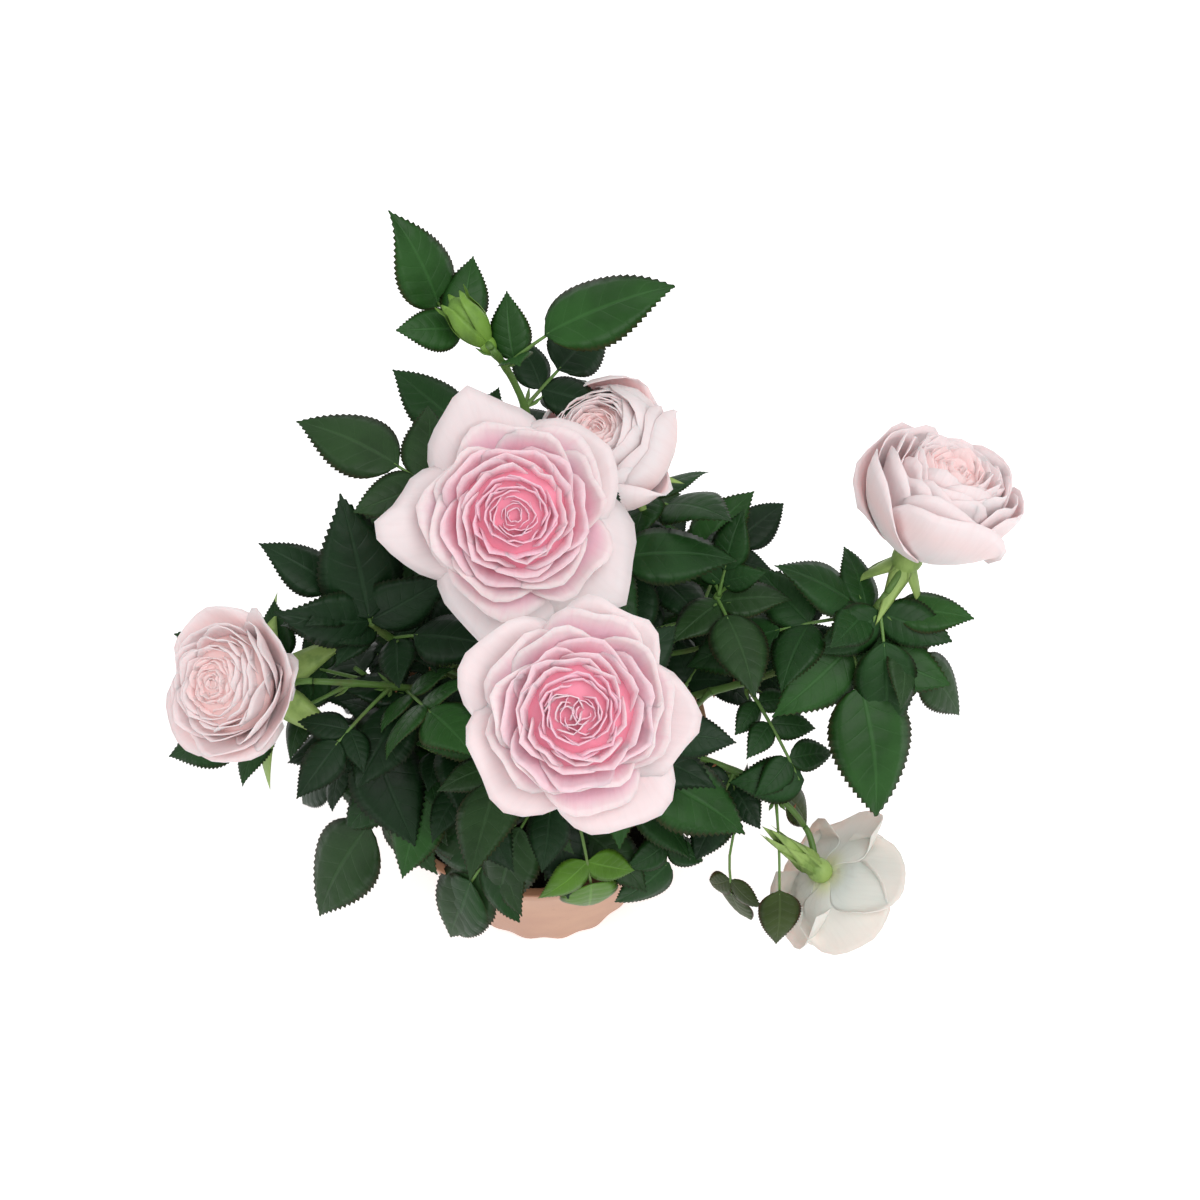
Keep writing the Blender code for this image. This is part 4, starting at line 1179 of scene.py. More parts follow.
def leaf_finish(name, colour, rim, reddish, roughness=0.44, veins=0.24):
    """A satin leaf: one base colour, paler sunken veins, and a rim that may be reddish."""
    made, tree, shader = principled(name, roughness=roughness, specular=0.22)
    along, across = own_map(tree)
    off_midrib = maths(tree, "ABSOLUTE", maths(tree, "SUBTRACT", across, 0.5))
    across = maths(tree, "MULTIPLY", off_midrib, 2.0)
    slant = maths(tree, "MULTIPLY", across, VEIN_SLANT)
    phase = maths(tree, "MULTIPLY", maths(tree, "SUBTRACT", along, slant), VEINS)
    ridge = maths(tree, "PINGPONG", phase, 0.5)
    side_vein = ranged(tree, ridge, 0.0, VEIN_WIDTH, 1.0, 0.0)
    side_vein = maths(tree, "MULTIPLY", side_vein, ranged(tree, across, 0.55, 0.95, 1.0, 0.0))
    midrib = ranged(tree, across, 0.02, 0.08, 1.0, 0.0)
    vein = maths(tree, "MAXIMUM", midrib, maths(tree, "MULTIPLY", side_vein, SIDE_VEIN))
    mottle = grain(tree, 70.0, detail=4.0)
    light = tuple(min(1.0, 2.0 * value + 0.02) for value in colour)
    body = mixed(tree, ranged(tree, mottle, 0.35, 0.65), shaded(colour, 0.72), colour)
    body = mixed(tree, maths(tree, "MULTIPLY", vein, veins), body, light)
    edge = maths(tree, "MULTIPLY", ranged(tree, across, 0.86, 1.0), reddish)
    body = mixed(tree, edge, body, rim)
    height = maths(tree, "SUBTRACT", maths(tree, "MULTIPLY", ridge, 0.6), vein)
    height = maths(tree, "ADD", height, maths(tree, "MULTIPLY", grain(tree, 700.0, detail=3.0), 0.5))
    bumped(tree, shader, height, distance=0.3 * MM, strength=0.45)
    painted(tree, shader, body, ranged(tree, mottle, 0.3, 0.7, roughness - 0.05, roughness + 0.10))
    return made


def petal_finish(name, claw, deep, body, tip):
    """A soft petal: a greenish foot, a deep throat, and a paler tip, with fine veins along it."""
    made, tree, shader = principled(name, roughness=0.62, specular=0.25)
    across, along = own_map(tree)
    colour = mixed(tree, ranged(tree, along, 0.02, CLAW_END), claw, deep)
    colour = mixed(tree, ranged(tree, along, CLAW_END + 0.15, 0.78), colour, body)
    colour = mixed(tree, ranged(tree, along, 0.72, TIP_FULL), colour, tip)
    fan = add(tree, "ShaderNodeTexNoise", Scale=1.0, Detail=2.0)
    spread = tree.nodes.new("ShaderNodeCombineXYZ")
    tree.links.new(maths(tree, "MULTIPLY", across, 34.0), spread.inputs[0])
    tree.links.new(maths(tree, "MULTIPLY", along, 2.0), spread.inputs[1])
    tree.links.new(spread.outputs[0], fan.inputs["Vector"])
    amount = maths(tree, "MULTIPLY", ranged(tree, fan.outputs["Fac"], 0.45, 0.75), 0.30)
    painted(tree, shader, mixed(tree, amount, colour, shaded(body, 0.90)))
    preset(shader, Subsurface_Weight=0.35, Subsurface_Radius=(1.0, 0.50, 0.50), Subsurface_Scale=1.2 * MM)
    preset(shader, Sheen_Weight=0.15, Sheen_Roughness=0.5)
    bumped(tree, shader, fan.outputs["Fac"], distance=0.3 * MM, strength=0.35)
    return made


def stem_finish(name, colour, patches, amount):
    """Smooth green bark with patches of another colour and fine lines along it."""
    made, tree, shader = principled(name, roughness=BARK_ROUGHNESS, specular=0.4)
    patch = grain(tree, 160.0, detail=4.0, stretch=(1.0, 1.0, 0.35))
    body = mixed(tree, maths(tree, "MULTIPLY", ranged(tree, patch, 0.48, 0.66), amount), colour, patches)
    roughness = ranged(tree, patch, 0.3, 0.7, BARK_ROUGHNESS - 0.06, BARK_ROUGHNESS + 0.14)
    painted(tree, shader, body, roughness)
    lines = grain(tree, 1500.0, detail=2.0, stretch=(1.0, 1.0, 0.12))
    bumped(tree, shader, lines, distance=0.2 * MM, strength=0.6)
    return made


def pot_finish(settings):
    """Satin moulded plastic, slightly faded in clouds, with fine moulding grain."""
    made, tree, shader = principled("moulded_plastic", roughness=0.5, specular=0.4)
    cloud = grain(tree, 28.0, detail=4.0)
    colour = mixed(tree, ranged(tree, cloud, 0.35, 0.7), settings.plastic, settings.worn)
    fleck = ranged(tree, grain(tree, 700.0, detail=2.0), 0.62, 0.72)
    dirt = srgb(120, 84, 62)
    colour = mixed(tree, maths(tree, "MULTIPLY", fleck, 0.12), colour, dirt)
    painted(tree, shader, colour, ranged(tree, cloud, 0.3, 0.7, 0.42, 0.56))
    bumped(tree, shader, grain(tree, 1800.0, detail=2.0), distance=0.1 * MM, strength=0.4)
    return made


def soil_finish(settings):
    """Damp crumbly peat, near black, with paler fibres."""
    made, tree, shader = principled("damp_peat", roughness=0.9, specular=0.3)
    lump = grain(tree, 420.0, detail=5.0)
    # the same noise that sinks the relief darkens the colour, so the mix is darkest in its hollows
    colour = mixed(tree, ranged(tree, lump, 0.35, 0.7), shaded(settings.soil, 0.35), settings.soil)
    fibre = ranged(tree, grain(tree, 900.0, detail=3.0, stretch=(1.0, 0.2, 1.0)), 0.66, 0.74)
    straw = srgb(96, 74, 52)
    colour = mixed(tree, maths(tree, "MULTIPLY", fibre, 0.5), colour, straw)
    painted(tree, shader, colour)
    bumped(tree, shader, lump, distance=0.8 * MM, strength=0.9)
    return made


# ---------------------------------------------------------------- making pieces


def mapped():
    """A new bmesh with the UV map that leaf and petal finishes read."""
    bm = bmesh.new()
    bm.loops.layers.uv.new(UV_MAP)
    return bm


def mesh_of(bm, name):
    """The bmesh as a mesh. The bmesh is used up."""
    mesh = bpy.data.meshes.new(name)
    bm.to_mesh(mesh)
    bm.free()
    return mesh


def placed(name, data, place=(0.0, 0.0, 0.0)):
    """A new object of that data in the scene."""
    made = bpy.data.objects.new(name, data)
    made.location = place
    bpy.context.scene.collection.objects.link(made)
    return made


def faces_of(verts):
    """The faces round those points, each of them once."""
    return list({face for vert in verts for face in vert.link_faces})


def give_finish(faces, finish):
    """Gives the faces the finish of that number."""
    for face in faces:
        face.material_index = finish


def piece_from(bm, name, finishes, nodes):
    """Makes the bmesh a piece of the bush that stands for those packed nodes."""
    mesh = mesh_of(bm, name)
    mesh.shade_smooth()
    for finish in finishes:
        mesh.materials.append(finish)
    made = placed(name, mesh)
    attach(made, BODY)
    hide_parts(*nodes)
    return made


def join(bm, part, finish=0):
    """Adds a finished small part to the piece's bmesh. Working on small ones is far quicker."""
    bmesh.ops.recalc_face_normals(part, faces=part.faces)
    give_finish(part.faces, finish)
    mesh = mesh_of(part, "part")
    bm.from_mesh(mesh)
    bpy.data.meshes.remove(mesh)


def add_tube(bm, path, radii, sides, finish=0):
    """Adds a tube along the path."""
    part = bmesh.new()
    sweep(part, path, radii, sides)
    join(bm, part, finish)


def lathe(bm, profile, steps, weld=1e-6):
    """Turns the profile, points of radius and height, round the Z axis."""
    verts = [bm.verts.new((radius, 0.0, height)) for radius, height in profile]
    edges = [bm.edges.new(pair) for pair in zip(verts, verts[1:])]
    bmesh.ops.spin(
        bm, geom=verts + edges, axis=UP, cent=(0, 0, 0), angle=math.tau, steps=steps, use_merge=True
    )
    bmesh.ops.remove_doubles(bm, verts=bm.verts, dist=weld)


def stamp(bm, pattern, place, finishes):
    """Adds the pattern at that place, its upper and under sides given those finishes."""
    copy = pattern.copy()
    copy.transform(place)
    for face in copy.polygons:
        face.material_index = finishes[face.material_index]
    bm.from_mesh(copy)
    bpy.data.meshes.remove(copy)


def blade_place(blade):
    """Where a pattern one unit long goes so that it is that blade."""
    axis, side, over = blade_axes(blade)
    turn = Matrix((axis.normalized(), side, over)).transposed().to_4x4()
    return Matrix.Translation(blade.root) @ turn @ Matrix.Scale(axis.length, 4)


def two_sided(name, columns, rows, shape):
    """A thin closed pattern: an upper side, and a coarser underside that meets it at the rim.

    shape takes the share of the length, the place across from -1 to 1, the column and whether it
    is the underside, and gives the point.
    """
    bm = mapped()
    for under, cells in ((False, rows), (True, 2)):
        grid = bmesh.ops.create_grid(bm, x_segments=columns, y_segments=cells, size=0.5, calc_uvs=True)
        faces = faces_of(grid["verts"])
        for vert in grid["verts"]:
            place, across = vert.co.x + 0.5, vert.co.y * 2
            vert.co = shape(place, across, round(place * columns), under)
        give_finish(faces, int(under))
        if under:
            bmesh.ops.reverse_faces(bm, faces=faces)
    bmesh.ops.remove_doubles(bm, verts=bm.verts, dist=1e-5)
    bmesh.ops.dissolve_degenerate(bm, dist=1e-6, edges=bm.edges)
    return mesh_of(bm, name)


def leaflet_pattern(seed, columns, settings):
    """One leaflet, a unit long: pointed, toothed, folded along its midrib and bent at its tip."""
    rng = random.Random(seed)
    low, high = rng.uniform(*LEAFLET_FOOT), rng.uniform(*LEAFLET_TIP)
    widest = (low / (low + high)) ** low * (high / (low + high)) ** high
    fold = BLADE_FOLD * rng.uniform(0.4, 1.5)
    bend = settings.tip * rng.uniform(0.4, 2.0)
    twist = rng.uniform(-0.06, 0.06)
    wave, phase = rng.uniform(0.004, 0.014), rng.uniform(0, math.tau)
    turn = rng.uniform(-0.035, 0.035)

    def shape(place, across, column, under):
        half = place**low * (1 - place) ** high / widest if 0 < place < 1 else 0.0
        rim = abs(across) > 0.99
        if rim and 0 < place < 1:
            tooth = column % 2
            half += settings.teeth * (1.8 * tooth - 0.6) * min(1.0, 3 * half)
            place += 0.70 / columns * tooth
        reach = half * across * BLADE_WIDTH / 2
        lift = 4 * BLADE_ARCH * place * (1 - place) - bend * place**3
        lift += fold * abs(reach) - 0.9 * reach * reach + twist * reach * place * 4
        lift += wave * abs(across) * math.sin(phase + 9 * place) * min(1.0, 4 * half)
        if not under:
            pucker = abs(math.sin(math.pi * VEINS * (place - VEIN_SLANT * abs(across))))
            lift += VEIN_RELIEF * pucker * math.sin(math.pi * min(1.0, abs(across))) * min(1.0, 2 * half)
        elif not rim:
            lift -= 0.014 * min(1.0, half * 4)
        return Vector((place, reach + turn * math.sin(math.pi * place), lift))

    return two_sided("leaflet", columns, LEAFLET_ROWS, shape)


def lance_pattern(name, waist, tip, curl, broad):
    """A sepal or stipule, a unit long and broad wide: widest at its waist, with a drawn-out tip."""

    def shape(place, across, column, under):
        foot = min(1.0, place / waist) ** 0.5 if place > 0 else 0.0
        head = max(0.0, 1 - max(0.0, place - waist) / (1 - waist)) ** tip
        reach = foot * head * across * broad / 2
        lift = curl * place * place - 0.8 * reach * reach / broad
        if under and abs(across) < 0.99:
            lift -= 0.035 * foot * head
        return Vector((place, reach, lift))

    return two_sided(name, columns=10, rows=4, shape=shape)


def wood_radius(place, split, nodes, reach, settings):
    """The radius of a shoot at a share of its length, swollen where leaves grow."""
    if place < split:
        radius = CANE_RADIUS + (STEM_RADIUS - CANE_RADIUS) * place / split
    else:
        radius = STEM_RADIUS + (STEM_TIP_RADIUS - STEM_RADIUS) * (place - split) / (1 - split)
    nearest = min((abs(place - node) * reach for node in nodes), default=1.0)
    return radius * (1 + settings.swell * math.exp(-((nearest / NODE_REACH) ** 2)))


def shoot_points(shoot, start, end):
    """Closely spaced points of the shoot's smooth line, their shares of its length, and the length."""
    curve = shoot_curve(shoot)
    reach = sum((b - a).length for a, b in zip(curve, curve[1:]))
    steps = max(2, round((end - start) * reach / LIMB_SPACING))
    shares = stepped(start, end, steps)
    return [walk(curve, place)[0] for place in shares], shares, reach


def add_limb(bm, shoot, start, end, nodes, settings, sides):
    """Adds a stretch of the shoot, knotted at its nodes and faintly uneven."""
    points, shares, reach = shoot_points(shoot, start, end)
    radii = [
        wood_radius(place, shoot.split, nodes, reach, settings) * (1 + 0.05 * noise.noise(point * 180.0))
        for place, point in zip(shares, points)
    ]
    if start == 0.0:
        for index, point in enumerate(points):
            height = point.z - points[0].z
            radii[index] *= 1 + (CANE_FLARE - 1) * math.exp(-height / FLARE_REACH)
    part = bmesh.new()
    for ring, point in zip(sweep(part, points, radii, sides), points):
        for vert in ring:
            vert.co = point + (vert.co - point) * (1 + 0.06 * noise.noise(vert.co * 420.0))
    join(bm, part)


def add_prickle(bm, point, out, up, size, finish):
    """Adds a prickle: a small flat-footed thorn that hooks down."""
    foot, tip = size * PRICKLE_FOOT, size * PRICKLE_TIP
    place = standing(point + out * size * 0.45, out)
    part = bmesh.new()
    bmesh.ops.create_cone(
        part, cap_ends=True, segments=6, radius1=foot, radius2=tip, depth=size, matrix=place
    )
    tips = [vert for vert in part.verts if (vert.co - point).dot(out) > size * 0.6]
    bmesh.ops.translate(part, vec=-up * size * PRICKLE_HOOK, verts=tips)
    join(bm, part, finish)


def add_prickles(bm, shoot, start, end, settings, finish):
    """Adds prickles at random places of that stretch of the shoot."""
    rng = random.Random(shoot.seed + 300)
    curve = shoot_curve(shoot)
    for _ in range(max(1, round(settings.prickles * (end - start)))):
        place = rng.uniform(start + 0.02, end - 0.02)
        point, along = walk(curve, place)
        out = Matrix.Rotation(rng.uniform(0, math.tau), 3, along) @ along.orthogonal().normalized()
        radius = STEM_RADIUS if place > shoot.split else CANE_RADIUS
        add_prickle(bm, point + out * radius * 0.8, out, along, rng.uniform(*PRICKLE_SIZES), finish)


def add_stalk(bm, stalk, start, end, finish, sides=STALK_SIDES):
    """Adds a leaf stalk with a swollen foot, of those radii at its start and end."""
    points = between(stalk, 0.0, 1.0, 8)
    radii = stepped(start, end, 8)
    radii[0] *= 1.7
    radii[1] *= 1.2
    add_tube(bm, points, radii, sides, finish)


# ---------------------------------------------------------------- petals


@dataclass
class Petal:
    """One petal: its place round the bloom's heart and the form of its cup. Lengths are in metres."""

    turn: float  # degrees round the bloom's aim
    reach: float  # how far out its tip is
    tall: float  # how far up its tip is
    half: float  # half its width
    lean: float  # how far one side laps over its neighbour
    roll: float  # how far its rim rolls back
    wave: float
    phase: float  # of its waves, radians
    point: float  # how far its tip is drawn out, as a share of its length
    shift: Vector  # towards its own heart, where the bloom has two
    finish: int
    depth: float  # 0 for a guard petal, 1 for the innermost
    closed: float  # 0 in an open bloom, 1 in a bud


def plan_petals(bloom, settings):
    """The bloom's petals, from its guard petals in to its heart."""
    rng = random.Random(bloom.name)
    wide, closed = bloom.width, 1 - bloom.open
    _, aim = bloom_base(bloom)
    part = Vector((1.0, 0.0, 0.0))
    part = (part - aim * part.dot(aim)).normalized()
    petals = []
    turn = bloom.turn
    for layer, (count, spread, height, half, finish) in enumerate(PETAL_WHORLS):
        depth = layer / (len(PETAL_WHORLS) - 1)
        inward = PETAL_WHORLS[min(layer + 1, len(PETAL_WHORLS) - 1)][1] - spread
        parted = bloom.hearts * wide / 2 if layer >= HEART_WHORL else 0.0
        small = 1 - 1.6 * bloom.hearts if parted else 1.0
        for number in range(count):
            turn += 360 / count
            reach = (spread + 0.7 * inward * number / count) * wide * small
            wrap = bloom.wrap * (1 - depth) ** 2
            tall = (height + closed * CUP_RISE + wrap + bloom.cup) * wide
            aside = parted and number % 3 == 0
            petals.append(
                Petal(
                    turn=turn + rng.uniform(-11, 11),
                    reach=reach * (1 - closed * CUP_CLOSE) * rng.uniform(0.94, 1.04),
                    tall=tall * rng.uniform(0.95, 1.04),
                    half=half * (1 + 0.25 * closed) * wide * rng.uniform(0.88, 1.12),
                    lean=rng.uniform(0.04, 0.09),
                    roll=wide * bloom.roll * (0.3 * (1 - depth) if layer else 1.0) * rng.uniform(0.4, 1.4),
                    wave=wide * bloom.frill * settings.wave * (1 - 0.75 * depth) * rng.uniform(0.5, 1.5),
                    phase=rng.uniform(0, math.tau),
                    point=(bloom.point if layer == 0 else 0.0) + rng.uniform(-0.04, 0.035),
                    shift=part * (-1.5 * parted if aside else 0.7 * parted),
                    finish=2 if aside else finish,
                    depth=depth,
                    closed=closed,
                )
            )
        turn += GOLDEN_TURN
    return petals


def petal_top(petal, across):
    """How far along the petal its rim lies: round, or drawn out to a point."""
    sides = max(0.0, 1 - abs(across) ** (3.0 - 7.0 * max(0.0, petal.point))) ** 0.45
    fall = RIM_FALL * (1 - 0.65 * petal.depth)
    return 1 - fall + fall * sides + petal.point * math.exp(-((across / 0.25) ** 2))


def petal_shape(petal, base, aim, across, along):
    """The point of the petal at that place across, from -1 to 1, and along, from foot to tip.

    Its section is a smooth curve that bulges out and then in: inner petals and closed blooms bulge
    and lean in more. The rest bends it round its heart, rolls its rim back and makes it wavy.
    """
    place = along * petal_top(petal, across)
    out = 0.42 + 0.70 * petal.depth
    bulge = 0.80 + 0.10 * petal.depth + 0.30 * petal.depth**4 + 0.35 * petal.closed * (1 - petal.depth)
    leant = 1 - petal.closed * (0.50 + 0.35 * petal.closed) * (1 - 0.4 * petal.depth)
    points = (
        Vector((0.04 * petal.half + PETAL_FOOT, 0.0, PETAL_FOOT)),
        Vector((petal.reach * out, 0.0, petal.tall * (0.10 + 0.15 * petal.depth))),
        Vector((petal.reach * bulge, 0.0, petal.tall * (0.62 + 0.05 * petal.depth))),
        Vector((petal.reach * leant, 0.0, petal.tall)),
    )
    rest = 1 - place
    weights = (rest**3, 3 * rest * rest * place, 3 * rest * place * place, place**3)
    middle = sum((weight * point for weight, point in zip(weights, points)), Vector())
    radius, height = middle.x, middle.z
    broad = min(1.0, place / WIDEST_AT)
    half = petal.half * (NARROW_FOOT + (1 - NARROW_FOOT) * broad * broad * (3 - 2 * broad))
    spin = across * half / max(radius, (0.42 + 0.25 * petal.depth) * half)
    turned_back = max(0.0, along - ROLL_FROM) / (1 - ROLL_FROM)
    radius += petal.roll * turned_back**2 * 0.8
    height -= petal.roll * turned_back**2 * (0.7 + 1.1 * abs(across) ** 3)
    height += petal.wave * math.sin(petal.phase + 4.4 * across) * place**3
    radius += 0.7 * petal.wave * math.sin(petal.phase * 1.7 + 5.3 * across) * place**2
    radius *= 1 + petal.lean * across
    out = around(aim, petal.turn + math.degrees(spin))
    return base + out * radius + petal.shift * place + aim * height


def add_petal(bm, petal, base, aim):
    """Adds the petal as a cupped sheet."""
    cells = PETAL_CELLS if petal.depth < COARSE_FROM else COARSE_CELLS
    grid = bmesh.ops.create_grid(bm, x_segments=cells, y_segments=cells - 1, size=0.5, calc_uvs=True)
    for vert in grid["verts"]:
        across = math.sin(math.pi * vert.co.x)  # closer columns towards the rims
        vert.co = petal_shape(petal, base, aim, across, vert.co.y + 0.5)
    give_finish(faces_of(grid["verts"]), petal.finish)


def add_bed(bm, bloom, base, aim):
    """Adds the packed bed between the petals. Its colour is a painted glow that stands in for the light
    shining through the petals deep between their rims.
    """
    radius, tall = bloom.bed
    part = bmesh.new()
    lathe(part, [(spread * radius, height * tall) for spread, height in BED], steps=24, weld=1e-5)
    place = standing(base, aim) @ Matrix.Scale(bloom.width, 4)
    bmesh.ops.transform(part, matrix=place, verts=part.verts)
    join(bm, part, BED_FINISH)


def petal_palette(kind, settings):
    """The finishes of a bloom's petals, from guard petals to heart, and of its bed, whose colour is a painted
    glow.

    A petal's row holds the colours of its foot, its depth, its body and its rim.
    """
    claw, throat, guard, blush = settings.claw, settings.throat, settings.guard, settings.blush
    heart, peach, white = settings.heart, settings.peach, settings.white
    light = shaded(guard, 1.06)
    pale, flushed, fading = halfway(light, peach), halfway(heart, blush), halfway(blush, guard)
    outermost = (claw, guard, guard, guard)
    rows = {
        "white": [(claw, white, white, white)] * 4,
        "peach": [
            (claw, light, pale, light),
            (claw, pale, light, light),
            (heart, peach, pale, light),
            (throat, heart, peach, pale),
        ],
        "rosy": [
            outermost,
            (heart, blush, blush, guard),
            (throat, throat, flushed, fading),
            (throat, throat, heart, blush),
        ],
        "pink": [
            outermost,
            (heart, heart, blush, guard),
            (throat, throat, blush, fading),
            (throat, throat, flushed, blush),
        ],
    }[kind]
    # The bed's colour is a painted glow, standing in for light that shines through the petals deep between
    # their rims
    glow = {"white": white, "peach": peach}.get(kind, halfway(throat, heart))
    rows.append((glow, glow, glow, glow))
    names = ("guard", "outer", "inner", "heart", "bed")
    return [petal_finish(f"petal_{kind}_{name}", *row) for name, row in zip(names, rows)]


# ---------------------------------------------------------------- operators


class ROSE_OT_mould_pot(bpy.types.Operator):
    """Moulds the pot: a thin wall with a lip band and a lobed foot"""

    bl_idname = "rose.mould_pot"
    bl_label = "Mould the pot"

    def execute(self, context):
        settings = context.scene.rose_pot
        bm = bmesh.new()
        lathe(bm, pot_profile(settings.edge), 2 * POT_SEGMENTS)
        for vert in bm.verts:
            if vert.co.z < LOBE_HEIGHT and vert.co.xy.length > FOOT_RADIUS * 0.9:
                angle = math.atan2(vert.co.y, vert.co.x)
                dent = LOBE_DEPTH * (0.5 - 0.5 * math.cos(FOOT_LOBES * angle)) * (1 - vert.co.z / LOBE_HEIGHT)
                vert.co.xy *= 1 - dent / vert.co.xy.length
        bmesh.ops.recalc_face_normals(bm, faces=bm.faces)
        piece = piece_from(bm, "moulded_pot", [pot_finish(settings)], ["pot"])
        piece.data.set_sharp_from_angle(angle=math.radians(40))
        return {"FINISHED"}


def wall_radius(height):
    """The radius of the pot's outer wall at that height."""
    return FOOT_RADIUS + (RIM_RADIUS - FOOT_RADIUS) * height / POT_HEIGHT


def arc(middle, radius, start, end, steps=4):
    """Points of an arc in the profile, angles in degrees."""
    turns = [math.radians(angle) for angle in stepped(start, end, steps)]
    return [(middle[0] + radius * math.cos(turn), middle[1] + radius * math.sin(turn)) for turn in turns]


def pot_profile(edge):
    """The pot's section, from the middle of its inside floor, over the lip, to its underside."""
    lip = POT_HEIGHT - LIP_HEIGHT
    inner = RIM_RADIUS - POT_WALL
    outer = RIM_RADIUS + LIP_PROUD
    points = [(0.0, POT_WALL), (wall_radius(POT_WALL) - POT_WALL, POT_WALL)]
    points += arc((inner + edge, POT_HEIGHT - edge), edge, 180, 90)
    points += arc((outer - edge, POT_HEIGHT - edge), edge, 90, 0)
    points += arc((wall_radius(lip) + LIP_PROUD - edge, lip + edge), edge, 0, -70)
    points.append((wall_radius(lip) + 0.2 * MM, lip - LIP_PROUD * 0.5))
    points += [(wall_radius(height), height) for height in (lip - 2 * MM, *WALL_HEIGHTS)]
    ring = FOOT_RADIUS - FOOT_RING
    points += [(FOOT_RADIUS - 0.6 * MM, 0.0), (ring, 0.0), (ring - MM, FOOT_HOLLOW), (0.0, FOOT_HOLLOW)]
    return points


class ROSE_OT_fill_soil(bpy.types.Operator):
    """Fills the pot with potting mix, crumbly on top"""

    bl_idname = "rose.fill_soil"
    bl_label = "Fill in the potting mix"

    def execute(self, context):
        settings = context.scene.rose_pot
        rng = random.Random(5)
        edge = SOIL_TOP - SOIL_EDGE_DROP
        floor = POT_WALL + GAP
        wall = [(wall_radius(height) - POT_WALL - GAP, height) for height in (edge, floor)]
        spread = wall[0][0]
        top = [(spread * index / SOIL_RINGS, SOIL_TOP) for index in range(SOIL_RINGS)]
        bm = bmesh.new()
        lathe(bm, top + wall + [(0.0, floor)], POT_SEGMENTS)
        for vert in bm.verts:
            if vert.co.z > edge - MM:
                vert.co.z = soil_height(vert.co.x, vert.co.y)
        for _ in range(settings.crumbs):
            add_crumb(bm, rng, spread - 2 * MM)
        bmesh.ops.recalc_face_normals(bm, faces=bm.faces)
        piece = piece_from(bm, "crumbly_soil", [soil_finish(settings)], ["soil"])
        piece.data.set_sharp_from_angle(angle=math.radians(35))
        return {"FINISHED"}


def add_crumb(bm, rng, spread):
    """Adds a flattened lump somewhere on the soil, at most that far from its middle."""
    out = spread * math.sqrt(rng.random())
    turn = rng.uniform(0, math.tau)
    x, y = out * math.cos(turn), out * math.sin(turn)
    size = rng.choice(CRUMB_SIZES)
    place = Matrix.Translation((x, y, soil_height(x, y) + size * 0.2))
    tumble = Matrix.Rotation(rng.uniform(0, 6), 4, Vector((rng.random(), rng.random(), 0.1)))
    form = Matrix.Diagonal((size * rng.uniform(0.8, 1.6), size * rng.uniform(0.6, 1.0), size * 0.6, 1.0))
    bmesh.ops.create_icosphere(bm, subdivisions=1, radius=1.0, matrix=place @ tumble @ form)


def soil_height(x, y):
    """The soil's uneven top, lower towards the pot's wall, with large and small lumps."""
    spread = math.hypot(x, y)
    fall = SOIL_EDGE_DROP * max(0.0, spread - SOIL_LEVEL_RADIUS) / (RIM_RADIUS - SOIL_LEVEL_RADIUS)
    lumps = 1.3 * noise.noise(Vector((x, y, 0.0)) * 210.0) + 0.9 * noise.noise(Vector((x, y, 0.3)) * 520.0)
    return SOIL_TOP - fall + MM * lumps - 0.4 * MM


class ROSE_OT_grow_canes(bpy.types.Operator):
    """Grows the canes: bare lower limbs with knotted, faintly lined bark and prickles"""

    bl_idname = "rose.grow_canes"
    bl_label = "Grow the canes"

    def execute(self, context):
        settings = context.scene.rose_wood
        bm = bmesh.new()
        for shoot in SHOOTS:
            nodes = [0.33 * shoot.split, 0.66 * shoot.split, shoot.split]
            add_limb(bm, shoot, 0.0, shoot.split, nodes, settings, CANE_SIDES)
            add_prickles(bm, shoot, 0.0, shoot.split, settings, 1)
        finishes = [
            stem_finish("cane_bark", settings.green, settings.brown, amount=0.8),
            stem_finish("prickle", settings.prickle, settings.brown, amount=0.4),
        ]
        piece_from(bm, "canes", finishes, ["cane_" + shoot.name for shoot in SHOOTS])
        return {"FINISHED"}


class ROSE_OT_grow_stems(bpy.types.Operator):
    """Grows the stems, twigs and leaf stalks, with stipules and prickles"""

    bl_idname = "rose.grow_stems"
    bl_label = "Grow the stems and stalks"

    def execute(self, context):
        settings = context.scene.rose_wood
        _, masses = grown()
        stipule = lance_pattern("stipule", waist=0.55, tip=0.9, curl=0.25, broad=0.24)
        bm = bmesh.new()
        for shoot in SHOOTS:
            mass = masses[shoot.name]
            add_limb(bm, shoot, shoot.split - STEM_LAP, 1.0, mass.nodes + [shoot.split], settings, STEM_SIDES)
            add_prickles(bm, shoot, shoot.split, 1.0, settings, 2)
            for twig in mass.twigs:
                add_stalk(bm, twig, STALK_RADIUS * 0.9, PETIOLE_RADIUS * 0.8, finish=0, sides=TWIG_ROUND)
            for stalk, _, finish in mass.leaves:
                thick = PETIOLE_RADIUS * (0.78 if finish != "bronze" else 0.6)
                add_stalk(bm, stalk, thick, RACHIS_TIP_RADIUS * 0.8, finish=1)
                add_stipules(bm, stalk, stipule)
        finishes = [
            stem_finish("stem_bark", settings.green, settings.brown, amount=0.35),
            stem_finish("leaf_stalk", settings.stalk, settings.brown, amount=0.30),
            stem_finish("stem_prickle", settings.prickle, settings.brown, amount=0.4),
        ]
        piece_from(bm, "stems", finishes, ["foliage_" + shoot.name for shoot in SHOOTS])
        bpy.data.meshes.remove(stipule)
        return {"FINISHED"}


def add_stipules(bm, stalk, pattern):
    """Adds the two narrow wings at the foot of a leaf stalk."""
    foot, along = walk(stalk, 0.0)
    side = along.cross(UP)
    side = side.normalized() if side.length > 0.1 else along.orthogonal().normalized()
    face = side.cross(along).normalized()
    for hand in (-1, 1):
        root = foot + along * 0.6 * MM + side * hand * 0.3 * MM
        tip = root + (along + side * hand * 0.45).normalized() * STIPULE_LENGTH
        stamp(bm, pattern, blade_place(Blade(root, tip, face, 0.0)), (1, 1))


